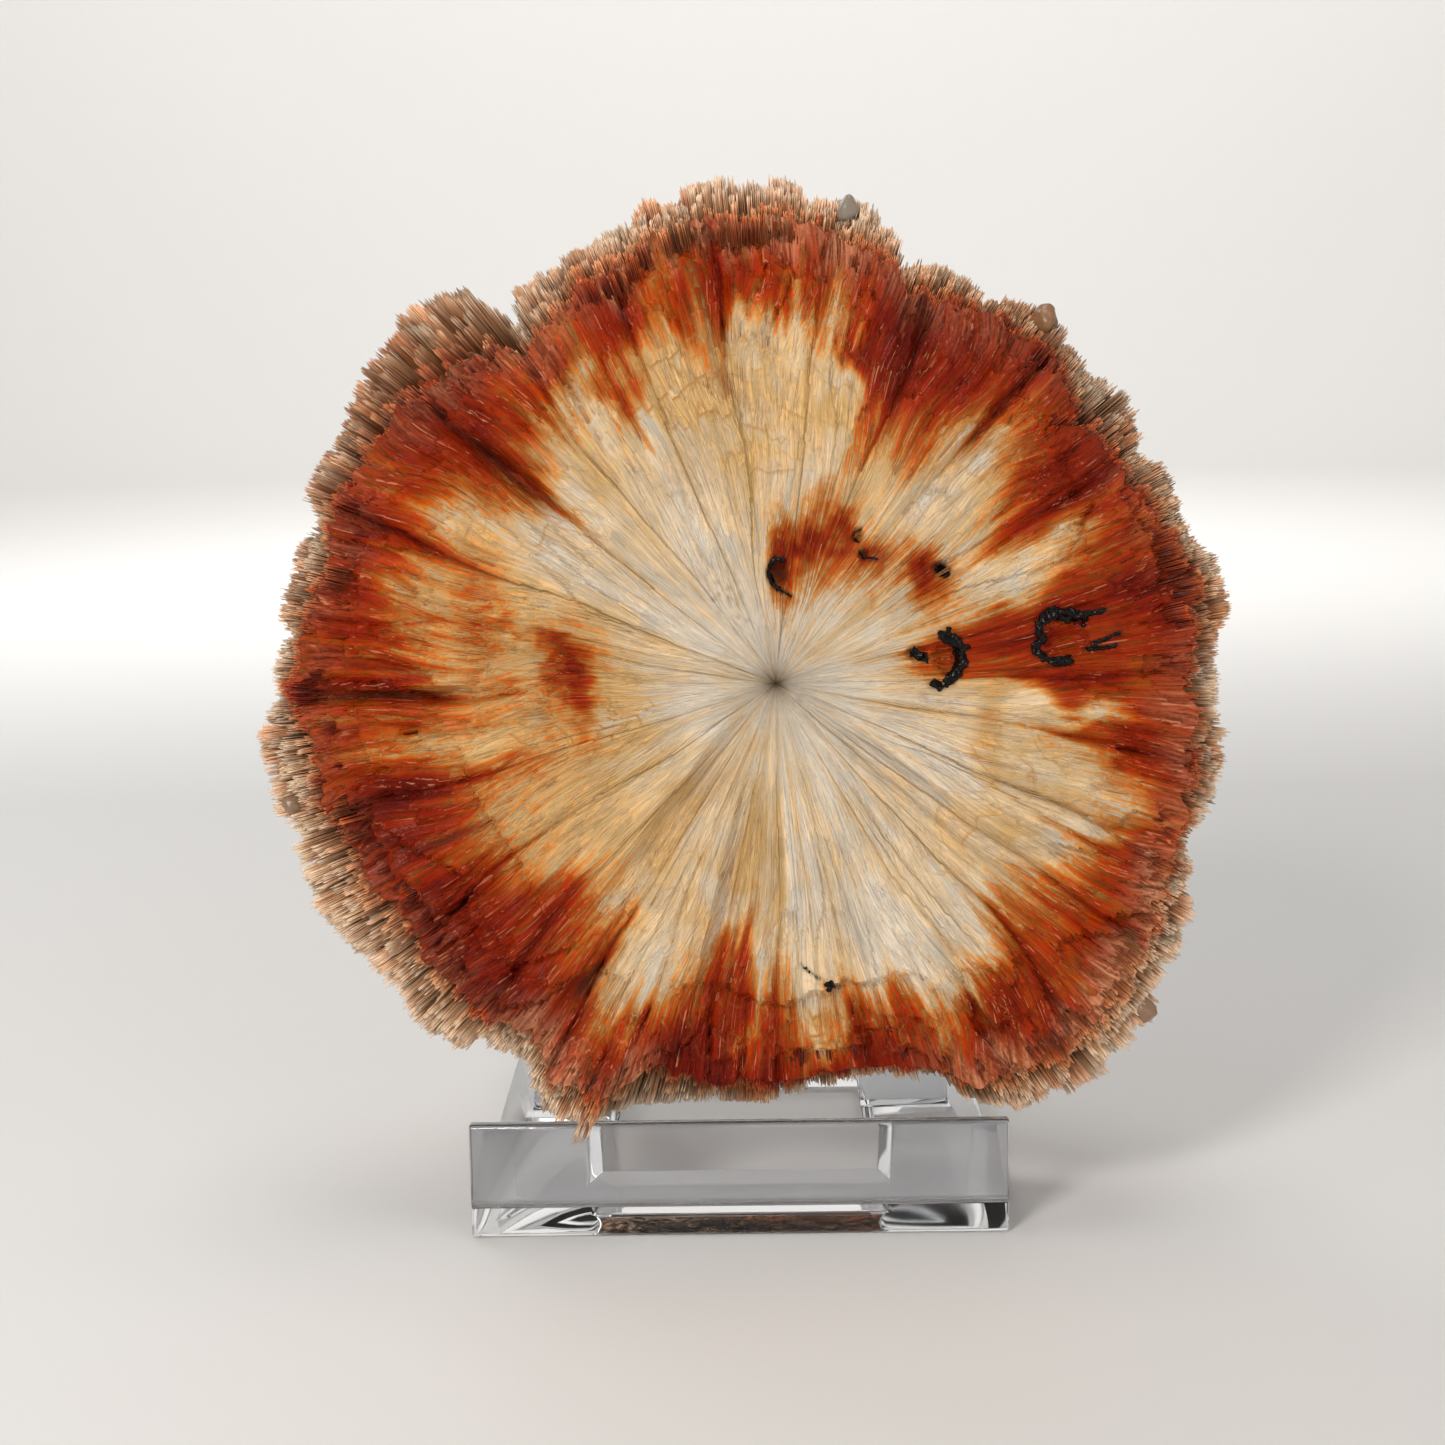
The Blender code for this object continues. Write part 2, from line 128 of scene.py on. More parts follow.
def stirred(first, second, third, seed):
    # whole numbers mixed into one from 0 to mostBits, the same in every run
    mixed = (first * 374761393 + second * 668265263 + third * 1274126177 + seed * 97531) & mostBits
    mixed = ((mixed ^ (mixed >> 13)) * 1103515245 + 12345) & mostBits
    return ((mixed ^ (mixed >> 15)) * 668265263) & mostBits


def latticeNoise(x, y, z, seed=0):
    # smooth noise from -1 to 1 with features about one unit across
    place = np.stack(np.broadcast_arrays(x, y, z), -1).astype(float)
    cell = np.floor(place).astype(np.int64)
    part = place - cell
    part = part * part * (3 - 2 * part)
    total = np.zeros(place.shape[:-1])
    for corner in np.ndindex(2, 2, 2):
        at = cell + np.array(corner)
        share = np.prod(np.where(np.array(corner) == 1, part, 1 - part), axis=-1)
        total += share * (stirred(at[..., 0], at[..., 1], at[..., 2], seed) / mostBits)
    return total * 2 - 1


def faceNoise(right, up, perMm, seed):
    return latticeNoise(right * perMm, up * perMm, 0, seed)


def acrossFace(degrees, radius):
    angle = np.radians(degrees)
    return radius * np.cos(angle), radius * np.sin(angle)


def fibreNoise(degrees, radius, around, along, seed=0):
    # noise drawn out along the needles: around is how many units fit in a radian, along is units per mm
    return latticeNoise(*acrossFace(degrees, around), radius * along, seed)


def streaked(degrees, radius, rows):
    # rows of around, along, strength and seed
    return sum(size * fibreNoise(degrees, radius, around, along, seed) for around, along, size, seed in rows)


def blotched(right, up, rows):
    # rows of features per mm, strength and seed
    return sum(size * faceNoise(right, up, perMm, seed) for perMm, size, seed in rows)


def chance(first, second, seed):
    # a fixed random number from 0 to 1 for each pair of whole numbers
    mixed = stirred(first.astype(np.int64), np.asarray(second, np.int64), 0, seed)
    return (mixed ^ (mixed >> 14)) / mostBits


def brokenBundles(degrees, radius, count, length, waver, stagger, seed):
    # columns round the hub, broken across in places: a number for each piece, and how far along it a point is
    place = degrees / 360 * count + waver * fibreNoise(degrees, radius, 9, 0.05, seed)
    column = np.floor(place)
    own = chance(column % count, 0, seed)
    phase = radius / length + 3.5 * fibreNoise(degrees, 0, 3, 0, seed + 2) + stagger * own
    piece = np.floor(phase)
    return chance(column % count, piece, seed + 1), phase - piece


def turnBetween(a, b):
    return np.abs((a - b + 180) % 360 - 180)


def crown(across):
    return np.clip(1 - across**2, 0, 1)


def bulge(radius, first, last):
    return np.sin(np.pi * np.clip((radius - first) / (last - first), 0, 1))


leanTurn = Matrix.Rotation(math.radians(-spray["leanDegrees"]), 3, "X")
hubPlace = lipFoot + Vector(spray["hub"]) * mm


def toFrame(right, up, out):
    local = np.stack(np.broadcast_arrays(right, -out, up), -1) * mm
    return local @ np.array(leanTurn).T + np.array(hubPlace)


# Fans of needles, each as if from a hub of its own: the degrees where one meets the next
fanEdges = (
    2, 15, 31, 50, 67, 83, 98, 112, 127, 141, 157, 170, 181, 197, 213, 226, 237, 247, 258, 271, 284, 301, 312,
    322, 336, 349,
)
fans = {
    "wander": 2.2,  # degrees
    "shift": 2.6,  # mm that a fan's own hub is off to the side
    "strands": 84,  # round the hub
    "strandShift": 1.1,
    "bend": 0.05,
    "tilt": 0.35,  # mm from one side of a fan to the other
    "crevice": 0.9,  # mm deep where fans meet
    "lip": (0.5, 1.1),  # mm that a fan's end stands over what is beyond
    "lipInset": (1.0, 9.0),  # mm from the edge of the face
    "lipShare": 0.55,
}


def fanAt(degrees, radius):
    # which fan a point is in, and how far across it from -1 to 1
    turn = (degrees + fans["wander"] * fibreNoise(degrees, radius, 5, 0.07, 101)) % 360
    edges = np.array(fanEdges)
    number = np.searchsorted(edges, turn, side="right")
    first, last = edges[number - 1], edges[number % len(edges)]
    return number % len(edges), ((turn - first) % 360) / ((last - first) % 360) * 2 - 1


def grainAt(degrees, radius):
    # where the needles' pattern is read, right and up, so that each fan and strand keeps its own direction
    number, strands = fanAt(degrees, radius)[0], fans["strands"]
    strand = np.floor(degrees / 360 * strands + 1.8 * fibreNoise(degrees, radius, 9, 0.04, 104)) % strands
    sideways = fans["shift"] * (2 * chance(number, 0, 103) - 1) * softStep(2, 14, radius)
    sideways = sideways + fans["strandShift"] * (2 * chance(strand, 0, 105) - 1) * softStep(12, 30, radius)
    right, up = acrossFace(degrees, radius)
    sideways = sideways + fans["bend"] * radius * faceNoise(right, up, 0.07, 106)
    angle = np.radians(degrees)
    return right - np.sin(angle) * sideways, up + np.cos(angle) * sideways


def fanHeight(degrees, radius):
    # each fan tilts a little, drops off where it meets the next, and may end in a lip
    number, across = fanAt(degrees, radius)
    height = fans["tilt"] * across * (2 * chance(number, 0, 107) - 1)
    height = height - fans["crevice"] * np.abs(across) ** 9 * softStep(24, 50, radius)
    low, high = fans["lipInset"]
    inset = low + (high - low) * chance(number, 0, 108)
    end = aroundTable(faceEdge, degrees) - inset - 1.5 * across**2 + 0.7 * fibreNoise(degrees, 0, 40, 0, 109)
    low, high = fans["lip"]
    drop = (low + (high - low) * chance(number, 0, 110)) * (chance(number, 0, 111) < fans["lipShare"])
    return softStep(10, 40, radius) * height - drop * softStep(end, end + 0.6, radius)


# Shape of the broken face
faceRelief = {
    "fans": (5, 0.03, 2.2),  # around, along, height, as in the solid
    "ribs": (16, 0.05, 1.1),
    "droop": 1.2,
    "needles": (75, 0.02, 0.16),
    "star": (7, 0.16, 0.10, 15),  # ridges round the hub: around, along, height, and how far they reach
    # broken bundles: how many round the hub, length, height of the steps, slope, waver and stagger
    "bundles": ((96, 10.0, 0.2, 0.24, 0.9, 0.5), (230, 6.5, 0.12, 0.12, 1.4, 1.5)),
    "rough": (36, 54, 5.0),  # the rusty zone is rougher: from and to these radii, by this factor
    "hubPit": (1.6, 1.4),  # radius and depth
    "ledgeRagged": ((9, 0, 2.0, 5), (45, 0, 0.5, 6)),  # around, along, mm and seed
    "edgeRagged": ((30, 0, 1.1, 41), (95, 0, 0.8, 42)),
    "fringeWidth": 1.5,  # the narrowest that the fringe gets, in mm
}


def coarseHeight(degrees, radius):
    # the solid's own relief, by the same noise
    share = np.minimum(radius / 60, 1)
    height = -faceRelief["droop"] * share**3
    for around, along, swell in (faceRelief["fans"], faceRelief["ribs"]):
        places = np.stack([*acrossFace(degrees, around), radius * along], -1)
        found = np.array([noise.noise(place) for place in places.reshape(-1, 3)])
        height = height + share * swell * found.reshape(radius.shape)
    for middle, halfWidth, first, last, depth in troughs:
        across = turnBetween(degrees, middle) * np.radians(radius) / halfWidth
        height = height - depth * bulge(radius, first, last) * crown(across)
    ragged = streaked(degrees, radius, faceRelief["ledgeRagged"])
    for middle, halfWidth, edge, drop, run in ledges:
        across = turnBetween(degrees, middle) / halfWidth
        height = height - drop * crown(across) * softStep(edge + ragged, edge + ragged + run, radius)
    middle, halfWidth, first, full, swell = lobe
    across = turnBetween(degrees, middle) / halfWidth
    height = height + swell * crown(across) * np.clip((radius - first) / (full - first), 0, 1)
    pitRadius, pitDepth = faceRelief["hubPit"]
    return height - pitDepth * np.exp(-((radius / pitRadius) ** 2))


def fineHeight(degrees, radius):
    # the needles, and the steps where bundles of them broke off
    fan = fanHeight(degrees, radius)
    right, up = grainAt(degrees, radius)
    degrees, radius = np.degrees(np.arctan2(up, right)) % 360, np.hypot(right, up)
    share = softStep(3, 38, radius)
    around, along, swell = faceRelief["needles"]
    height = share * swell * fibreNoise(degrees, radius, around, along, 12)
    around, along, swell, reach = faceRelief["star"]
    ridge = 1 - 2 * np.abs(fibreNoise(degrees, radius, around, along, 14))
    height = height + swell * ridge * softStep(0.5, 4, radius) * (1 - softStep(reach * 0.4, reach, radius))
    first, last, factor = faceRelief["rough"]
    share = share * (1 + (factor - 1) * softStep(first, last, radius))
    for index, (count, length, step, slope, waver, stagger) in enumerate(faceRelief["bundles"]):
        level, along = brokenBundles(degrees, radius, count, length, waver, stagger, 21 + 10 * index)
        height = height + share * ((level - 0.5) * step + (along - 0.5) * slope * level)
    return height + fan


def pitDepthAt(right, up, soot=False):
    depth = np.zeros(np.shape(right))
    for pitRight, pitUp, radius, deepest, black in pits:
        away = np.hypot(right - pitRight, up - pitUp) / radius
        away = away * (1 + 0.22 * latticeNoise(right * 0.9, up * 0.9, radius, 31))
        hollow = np.sqrt(np.clip(1 - away**2, 0, 1))
        depth = np.maximum(depth, hollow * (black if soot else deepest))
    return depth


def faceHeight(degrees, radius):
    height = coarseHeight(degrees, radius) + fineHeight(degrees, radius)
    return height - pitDepthAt(*acrossFace(degrees, radius))


def edgeRadius(degrees):
    reach = aroundTable(outline, degrees)
    ragged = streaked(degrees, 0, faceRelief["edgeRagged"])
    return np.minimum(aroundTable(faceEdge, degrees) + ragged, reach - faceRelief["fringeWidth"])


# Stains: the radius where the rust sets in, by direction
rustStart = (
    (0, 29), (3, 24), (11, 23), (15, 33), (20, 44), (25, 46.5), (30, 39.5), (35, 39.5), (40, 41.5), (45, 45),
    (50, 47), (55, 45), (60, 37), (65, 37), (70, 33.5), (73, 33), (75, 45), (80, 50.5), (85, 53.5),
    (90, 54.5), (93, 54.5), (97, 52.5), (100, 47), (105, 55.5), (110, 54.5), (115, 46.5), (118, 44.5),
    (122, 53.5), (125, 53.5), (130, 48), (135, 49), (137, 48), (140, 40.5), (143, 47), (147, 52),
    (150, 53.5), (155, 51.5), (160, 53.5), (165, 53.5), (170, 49.5), (172, 46.5), (175, 49.5), (178, 54.5),
    (182, 45), (185, 45), (187, 47), (190, 54.5), (192, 52), (195, 45), (197, 40.5), (200, 45), (205, 48),
    (210, 50.5), (215, 47.5), (220, 46.5), (225, 42.5), (230, 40.5), (235, 42.5), (237, 46), (240, 54.5),
    (245, 54.5), (250, 50.5), (255, 45), (258, 39.5), (262, 33), (265, 47), (275, 47), (277, 54),
    (280, 46.5), (285, 48), (290, 49.5), (295, 50.5), (300, 53.5), (305, 54.5), (310, 53.5), (315, 52),
    (320, 47), (325, 49.5), (330, 46), (333, 46.5), (337, 54.5), (340, 54), (345, 50.5), (350, 45),
    (352, 50.5), (355, 45), (358, 36),
)
# How much redder it gets towards the rim, by direction
rustDepth = (
    (0, 0.20), (14, 0.24), (25, 0.34), (50, 0.36), (75, 0.34), (90, 0.26), (110, 0.30), (130, 0.36),
    (160, 0.30), (180, 0.28), (198, 0.36), (220, 0.42), (250, 0.46), (275, 0.46), (290, 0.32), (318, 0.24),
    (340, 0.26), (352, 0.22),
)
# Over how many mm it fades towards the hub, by direction
rustFade = (
    (0, 24), (30, 24), (55, 20), (80, 15), (100, 15), (120, 17), (150, 26), (180, 32), (210, 28), (240, 22),
    (270, 18), (300, 18), (330, 20),
)
stain = {
    "edge": 0.52,  # how rusty it is where the rust sets in
    "outward": 10.0,  # mm over which orange turns to brick red
    # along the needles: around, along, strength and seed
    "flames": ((9, 0.03, 4.5, 51), (28, 0.022, 3.0, 52), (70, 0.015, 3.0, 53)),  # mm that the edge shifts
    "streaks": ((14, 0.09, 0.08, 59), (45, 0.06, 0.07, 60)),
    "raggedStreaks": ((30, 0.04, 0.10, 62),),
    # over the face: features per mm, strength and seed
    "wander": ((0.2, 3.0, 56),),  # degrees that the edge turns
    "clouds": ((0.14, 0.12, 58),),
    "uneven": ((0.6, 0.2, 64), (1.5, 0.15, 67)),
    "ragged": ((0.9, 0.12, 63), (0.3, 0.15, 61)),
    "seam": 0.22,  # painted shade: darker red in the crevices where fans meet
    "most": 1.1,
    "mostPatch": 0.8,
    # right, up, half width, half height, turn in degrees, strength
    "patches": (
        (-28.7, 2.6, 4.6, 5.8, 0, 0.42), (-27.6, 1.2, 2.4, 3.0, 0, 0.16), (-28.4, 1.5, 8.5, 8.5, 0, 0.15),
        (-32.6, 7.0, 4.6, 2.0, -17, 0.26), (-26.1, -6.0, 2.0, 5.2, 0, 0.22), (5.5, 18.6, 5.5, 4.6, -10, 0.36),
        (2.6, 18.6, 3.6, 5.0, 0, 0.26), (8.0, 23.8, 2.8, 3.8, 0, 0.34), (14.0, 17.4, 3.6, 2.3, -10, 0.36),
        (7.0, 17.0, 11.0, 8.0, 0, 0.18), (1.2, 14.0, 2.2, 4.4, 0, 0.24), (20.6, 14.6, 3.2, 3.3, 0, 0.44),
        (20.0, 14.0, 6.5, 5.5, 0, 0.16), (28.0, 7.6, 6.5, 4.4, 12, 0.22), (22.4, 2.6, 4.2, 3.8, 0, 0.24),
        (40.5, 5.8, 5.0, 4.0, 0, 0.12), (29.2, -6.0, 2.0, 6.5, -12, 0.18), (33.0, 0.4, 3.8, 1.6, 0, 0.16),
        (-38.0, -13.5, 13.0, 7.0, 20, 0.22), (-40.5, 9.0, 5.0, 10.0, 0, 0.33),
        (-27.0, -22.0, 10.0, 5.0, 38, 0.08),
    ),
    "fanSides": 3.0,  # mm that the rust reaches further in along the sides of a fan
}


def fromSpot(right, up, spotRight, spotUp, wide, high, turn=0):
    # how far a point is from the middle of a spot, where 1 is its edge
    x, y, tilt = right - spotRight, up - spotUp, math.radians(turn)
    across = x * math.cos(tilt) + y * math.sin(tilt)
    return np.hypot(across / wide, (y * math.cos(tilt) - x * math.sin(tilt)) / high)


def rustAt(degrees, radius):
    # 0 is clean, about 0.5 orange, and 1 brick red
    right, up = acrossFace(degrees, radius)
    across = fanAt(degrees, radius)[1]
    flame = streaked(degrees, radius, stain["flames"]) + stain["fanSides"] * (across**2 - 0.35)
    turned = degrees + blotched(right, up, stain["wander"])
    past = radius + flame - aroundTable(rustStart, turned)
    deeper = aroundTable(rustDepth, turned) * (1 - np.exp(-np.maximum(past, 0) / stain["outward"]))
    rust = stain["edge"] + np.where(past > 0, deeper, past / aroundTable(rustFade, degrees))
    cloudy = blotched(right, up, stain["clouds"]) + streaked(degrees, radius, stain["streaks"])
    # painted shade: redder in the crevices where fans meet
    cloudy = (cloudy + stain["seam"] * np.abs(across) ** 8) * softStep(0.05, 0.45, rust)
    rust = np.clip(rust + cloudy, 0, stain["most"])
    blurred, uneven = 0, 1 + blotched(right, up, stain["uneven"])
    ragged = blotched(right, up, stain["ragged"]) + streaked(degrees, radius, stain["raggedStreaks"])
    bounded = softStep(-1.0, 0.2, right + 0.05 * up)  # those on the right stop at the side of a fan
    for *patch, strength in stain["patches"]:
        away = np.maximum(fromSpot(right, up, *patch) + ragged, 0)
        blurred = blurred + strength * np.exp(-(away**2)) * (bounded if patch[0] > 0 else 1)
    return np.maximum(rust, np.minimum(rust * 0.4 + blurred * uneven, stain["mostPatch"]))


# Where the clean needles are white, cream or honey-coloured
warmth = {
    "white": ((292, 55, 1.0), (138, 25, 0.5)),  # degrees, half width, strength
    "ochre": 0.6,  # at the left
    "streaks": ((5, 0.08, 0.4, 71), (16, 0.05, 0.4, 72), (45, 0.05, 0.3, 76)),  # around, along, strength, seed
    "clouds": ((0.3, 0.2, 78),),  # features per mm, strength, seed
    "ragged": ((0.35, 0.3, 79),),
    "seam": 0.6,  # painted shade: warmer, honey-brown in the crevices where fans meet
    "perFan": 0.3,  # from one fan to another
    "most": 1.9,
    # right, up, half width, half height, strength
    "honeySpots": (
        (-40.5, 9.0, 5.0, 12.0, 1.4), (-38.0, -13.5, 14.0, 8.0, 0.9), (-27.0, -22.0, 10.0, 6.0, 0.6),
        (-18.0, -5.0, 9.0, 6.0, 0.4), (-29.0, 0.0, 10.0, 10.0, 0.6), (29.2, -6.0, 1.8, 6.5, 1.1),
        (33.0, 0.4, 4.2, 1.6, 1.0), (-9.0, 43.0, 10.0, 6.0, 0.6), (-12.0, 34.0, 5.0, 5.0, 0.5),
        (-2.5, -22.0, 2.6, 15.0, 1.0), (9.0, 4.0, 7.0, 1.4, 0.6), (14.0, 9.0, 9.0, 5.0, 0.4),
        (-10.0, -14.0, 7.0, 3.0, 0.4), (36.0, -18.0, 8.0, 6.0, 0.4),
    ),
}


def warmAt(degrees, radius):
    # cream above and at the sides, whiter towards the hub and below it
    right, up = acrossFace(degrees, radius)
    white = 0
    for middle, halfWidth, strength in warmth["white"]:
        white = white + strength * np.clip(1 - turnBetween(degrees, middle) / halfWidth, 0, 1)
    ochre = np.clip(1.3 - turnBetween(degrees, 180) / 40, 0, 1) * softStep(16, 40, radius)
    blotch = streaked(degrees, radius, warmth["streaks"]) + blotched(right, up, warmth["clouds"])
    ragged = blotched(right, up, warmth["ragged"])
    for *spot, strength in warmth["honeySpots"]:
        away = np.maximum(fromSpot(right, up, *spot) + ragged, 0)
        blotch = blotch + strength * np.exp(-(away**2))
    number, across = fanAt(degrees, radius)
    # painted shade in the crevices where fans meet, and a warmth of each fan's own
    seam = warmth["seam"] * np.abs(across) ** 8 * softStep(5, 20, radius)
    seam = seam + warmth["perFan"] * (chance(number, 0, 112) - 0.5)
    warm = 0.2 + softStep(4, 30, radius) * (0.72 - 0.66 * white) + warmth["ochre"] * ochre + blotch + seam
    return np.clip(warm, 0, warmth["most"])


# Dark hairline cracks near the hub, and painted shade along the troughs and crevices further out: degrees, half
# width in degrees, first and last radius, strength
hairlinesAndCreviceShade = (
    (158, 0.9, 1, 9, 0.8), (172, 0.7, 1, 16, 0.5), (214, 1.0, 1, 12, 0.7), (231, 0.8, 2, 22, 0.6),
    (247, 0.7, 3, 17, 0.4), (318, 0.8, 1, 20, 0.7), (326, 0.6, 4, 26, 0.6), (338, 0.7, 2, 14, 0.4),
    (84, 1.1, 1, 12, 0.6), (97, 0.6, 2, 15, 0.4), (123, 0.7, 2, 11, 0.4), (28, 0.7, 1, 9, 0.4),
    (181, 0.7, 43, 66, 1.0), (177, 0.4, 46, 60, 0.6), (237, 1.2, 44, 52, 1.0), (141, 1.0, 38, 58, 0.8),
    (260, 0.5, 18, 50, 0.5), (301, 0.6, 40, 58, 0.6), (256, 0.5, 12, 40, 0.6), (205, 0.8, 40, 60, 0.6),
    (336, 0.5, 24, 44, 0.4), (287, 0.4, 20, 48, 0.4), (268, 0.4, 22, 44, 0.4), (50, 0.7, 40, 57, 0.5),
    (100, 0.6, 38, 60, 0.5),
)


# Right, up, size, strength
dirtSpots = (
    (-7.6, 12.2, 3.0, 0.5), (-4.0, 9.5, 2.0, 0.4), (22.5, -1.0, 2.5, 0.4), (17.5, 17.5, 2.5, 0.4),
    (-11.5, 27, 2.5, 0.3),
)


def grimeAndShadeAt(degrees, radius):
    # grey-brown: dirt in spots and along hairline cracks, painted shade in the troughs, and darker round the
    # hub
    right, up = acrossFace(degrees, radius)
    broken = 0.5 + 0.5 * fibreNoise(degrees, radius, 70, 0.08, 73)
    spread = np.maximum(1.0 + 1.0 * fibreNoise(degrees, 0, 2.5, 0, 75), 0.7)
    grime = np.exp(-((radius / spread) ** 2)) + 0.35 * broken * np.exp(-((radius / 2.8) ** 2))
    for spotRight, spotUp, size, strength in dirtSpots:
        near = np.exp(-((right - spotRight) ** 2 + (up - spotUp) ** 2) / size**2)
        grime = np.maximum(grime, strength * near * np.clip(2.4 * faceNoise(right, up, 1.3, 77), 0, 1))
    # painted shade in the first three troughs
    for middle, halfWidth, first, last, _ in troughs[:3]:
        across = turnBetween(degrees, middle) * np.radians(radius) / halfWidth
        filled = 0.5 * broken**3 * bulge(radius, first, last)
        grime = np.maximum(grime, filled * np.clip(1.1 - np.abs(across), 0, 1))
    for middle, halfWidth, first, last, strength in hairlinesAndCreviceShade:
        wander = 0.5 * latticeNoise(radius * 0.22, middle, 0, 74)
        across = turnBetween(degrees + wander, middle) / halfWidth
        grime = np.maximum(grime, strength * np.sqrt(bulge(radius, first, last)) * np.exp(-(across**2)))
    return grime


# Black crust: each track is a line on the face, its width, the size of its grains and how many
crust = {
    "tracks": (
        (((45.2, 9.5), (43.4, 9.1), (41.8, 8.8)), 0.3, 0.35, 60),
        (((42.2, 8.3), (40.4, 8.8), (38.8, 9.2), (36.9, 8.6)), 0.95, 0.5, 170),
        (((36.9, 8.6), (35.9, 7.0), (36.4, 5.5), (35.5, 4.8), (35.9, 3.6)), 0.6, 0.45, 110),
        (((35.9, 3.6), (37.7, 2.7), (38.8, 2.2), (40.0, 2.8)), 0.6, 0.42, 90),
        (((43.0, 4.6), (45.0, 5.4), (47.0, 6.3)), 0.3, 0.26, 60),
        (((42.2, 4.2), (44.4, 4.2), (46.6, 4.6)), 0.3, 0.26, 60),
        (((22.8, 6.3), (24.4, 5.7), (25.3, 4.4), (25.2, 2.6), (24.8, 1.1), (23.6, 0.0)), 0.9, 0.5, 210),
        (((22.4, -0.6), (21.5, -0.3)), 0.5, 0.5, 30),
        (((18.6, 4.2), (19.4, 3.7), (20.4, 3.1)), 0.8, 0.42, 70),
        (((1.4, 16.8), (0.2, 17.1), (-0.6, 16.2), (-0.8, 14.9), (-0.2, 13.5), (1.0, 12.6)), 0.25, 0.36, 80),
        (((1.0, 12.6), (2.2, 11.9)), 0.12, 0.2, 14),
        (((11.9, 20.9), (11.0, 20.5), (10.8, 19.6), (11.6, 19.2)), 0.12, 0.2, 36),
        (((11.6, 17.9), (12.2, 17.0), (13.4, 17.0), (14.2, 16.8)), 0.14, 0.22, 34),
        (((21.9, 15.9), (22.4, 14.8), (23.4, 14.5), (23.8, 15.1)), 0.35, 0.4, 50),
        (((6.4, -41.4), (8.0, -41.8)), 0.8, 0.34, 34), (((3.0, -38.6), (5.6, -40.6)), 0.3, 0.2, 10),
        (((25.3, 51.0), (25.8, 50.8)), 0.1, 0.25, 4), (((-57.2, 32.0), (-56.9, 32.2)), 0.1, 0.2, 3),
    ),
    "scatter": 0.4,  # share of the width
    "sizes": (0.4, 1.0),
    "stretch": (1.2, 1.0, 0.65),
    "voxel": 0.15,
    "seed": 8,
}


# Where the rust gives way to paler needle ends before the edge of the face: degrees, strength
paleRim = (
    (0, 0.3), (20, 0.2), (40, 0.1), (60, 0.2), (76, 0.5), (90, 1.0), (105, 0.9), (116, 0.4), (130, 0.5),
    (145, 0.2), (180, 0.2), (225, 0.2), (238, 0.7), (248, 0.7), (254, 0.0), (288, 0.0), (297, 0.8),
    (312, 1.0), (328, 0.9), (340, 0.5),
)


def bareAt(degrees, radius):
    edge = aroundTable(faceEdge, degrees) + 3.0 * fibreNoise(degrees, radius, 40, 0.05, 78)
    return aroundTable(paleRim, degrees) * softStep(edge - 7, edge + 1, radius)


# Where fine cracks run across the needles: right, up, half width, half height, strength
crackSpots = (
    (-27, -7, 12, 8, 1.0), (-40, 8, 4, 15, 0.9), (-12, 42, 11, 8, 0.9), (-2, 33, 8, 6, 0.6),
    (12, 40, 8, 8, 0.5), (-8, -30, 10, 9, 0.5), (4, -48, 24, 5, 1.0), (26, -20, 9, 9, 0.4),
    (-30, 24, 8, 8, 0.5), (34, -12, 9, 6, 0.5), (-12, -44, 7, 6, 0.7), (24, 30, 9, 8, 0.4),
)


def crackAt(right, up):
    cracked, ragged = np.zeros(np.shape(right)), 0.4 * faceNoise(right, up, 0.3, 65)
    for *spot, strength in crackSpots:
        away = fromSpot(right, up, *spot) + ragged
        cracked = np.maximum(cracked, strength * (1 - softStep(0.4, 1.2, away)))
    return cracked


def sootAt(right, up):
    # in the pits, and as a halo along the crust
    soot = np.clip(pitDepthAt(right, up, soot=True) * 1.6, 0, 1)
    uneven = 1 + 0.5 * faceNoise(right, up, 1.6, 68)
    for track, _, grain, _ in crust["tracks"]:
        for (x0, y0), (x1, y1) in zip(track, track[1:]):
            long = (x1 - x0) ** 2 + (y1 - y0) ** 2
            share = np.clip(((right - x0) * (x1 - x0) + (up - y0) * (y1 - y0)) / long, 0, 1)
            away = np.hypot(right - x0 - share * (x1 - x0), up - y0 - share * (y1 - y0))
            soot = np.maximum(soot, 0.9 * np.exp(-((away / (grain * 1.25)) ** 2)) * uneven)
    return np.clip(soot, 0, 1)


def addObject(name, data):
    piece = bpy.data.objects.new(name, data)
    bpy.context.scene.collection.objects.link(piece)
    return piece


def roundOff(mesh):
    mesh.polygons.foreach_set("use_smooth", [True] * len(mesh.polygons))


def makeMesh(name, places, faces, values=None, smooth=False):
    mesh = bpy.data.meshes.new(name)
    mesh.from_pydata(places.tolist(), [], faces)
    for key, numbers in (values or {}).items():
        kind, field = ("FLOAT_VECTOR", "vector") if np.ndim(numbers) == 2 else ("FLOAT", "value")
        layer = mesh.attributes.new(key, kind, "POINT")
        layer.data.foreach_set(field, np.ascontiguousarray(numbers, np.float32).ravel())
    if smooth:
        roundOff(mesh)
    mesh.update()
    return addObject(name, mesh)


def fromBmesh(bm, name):
    mesh = bpy.data.meshes.new(name)
    bm.to_mesh(mesh)
    bm.free()
    return addObject(name, mesh)


def applied(piece):
    # the piece with its modifiers worked into a plain mesh
    raw = piece.data
    graph = bpy.context.evaluated_depsgraph_get()
    piece.data = bpy.data.meshes.new_from_object(piece.evaluated_get(graph))
    piece.modifiers.clear()
    bpy.data.meshes.remove(raw)
    piece.data.name = piece.name
    return piece


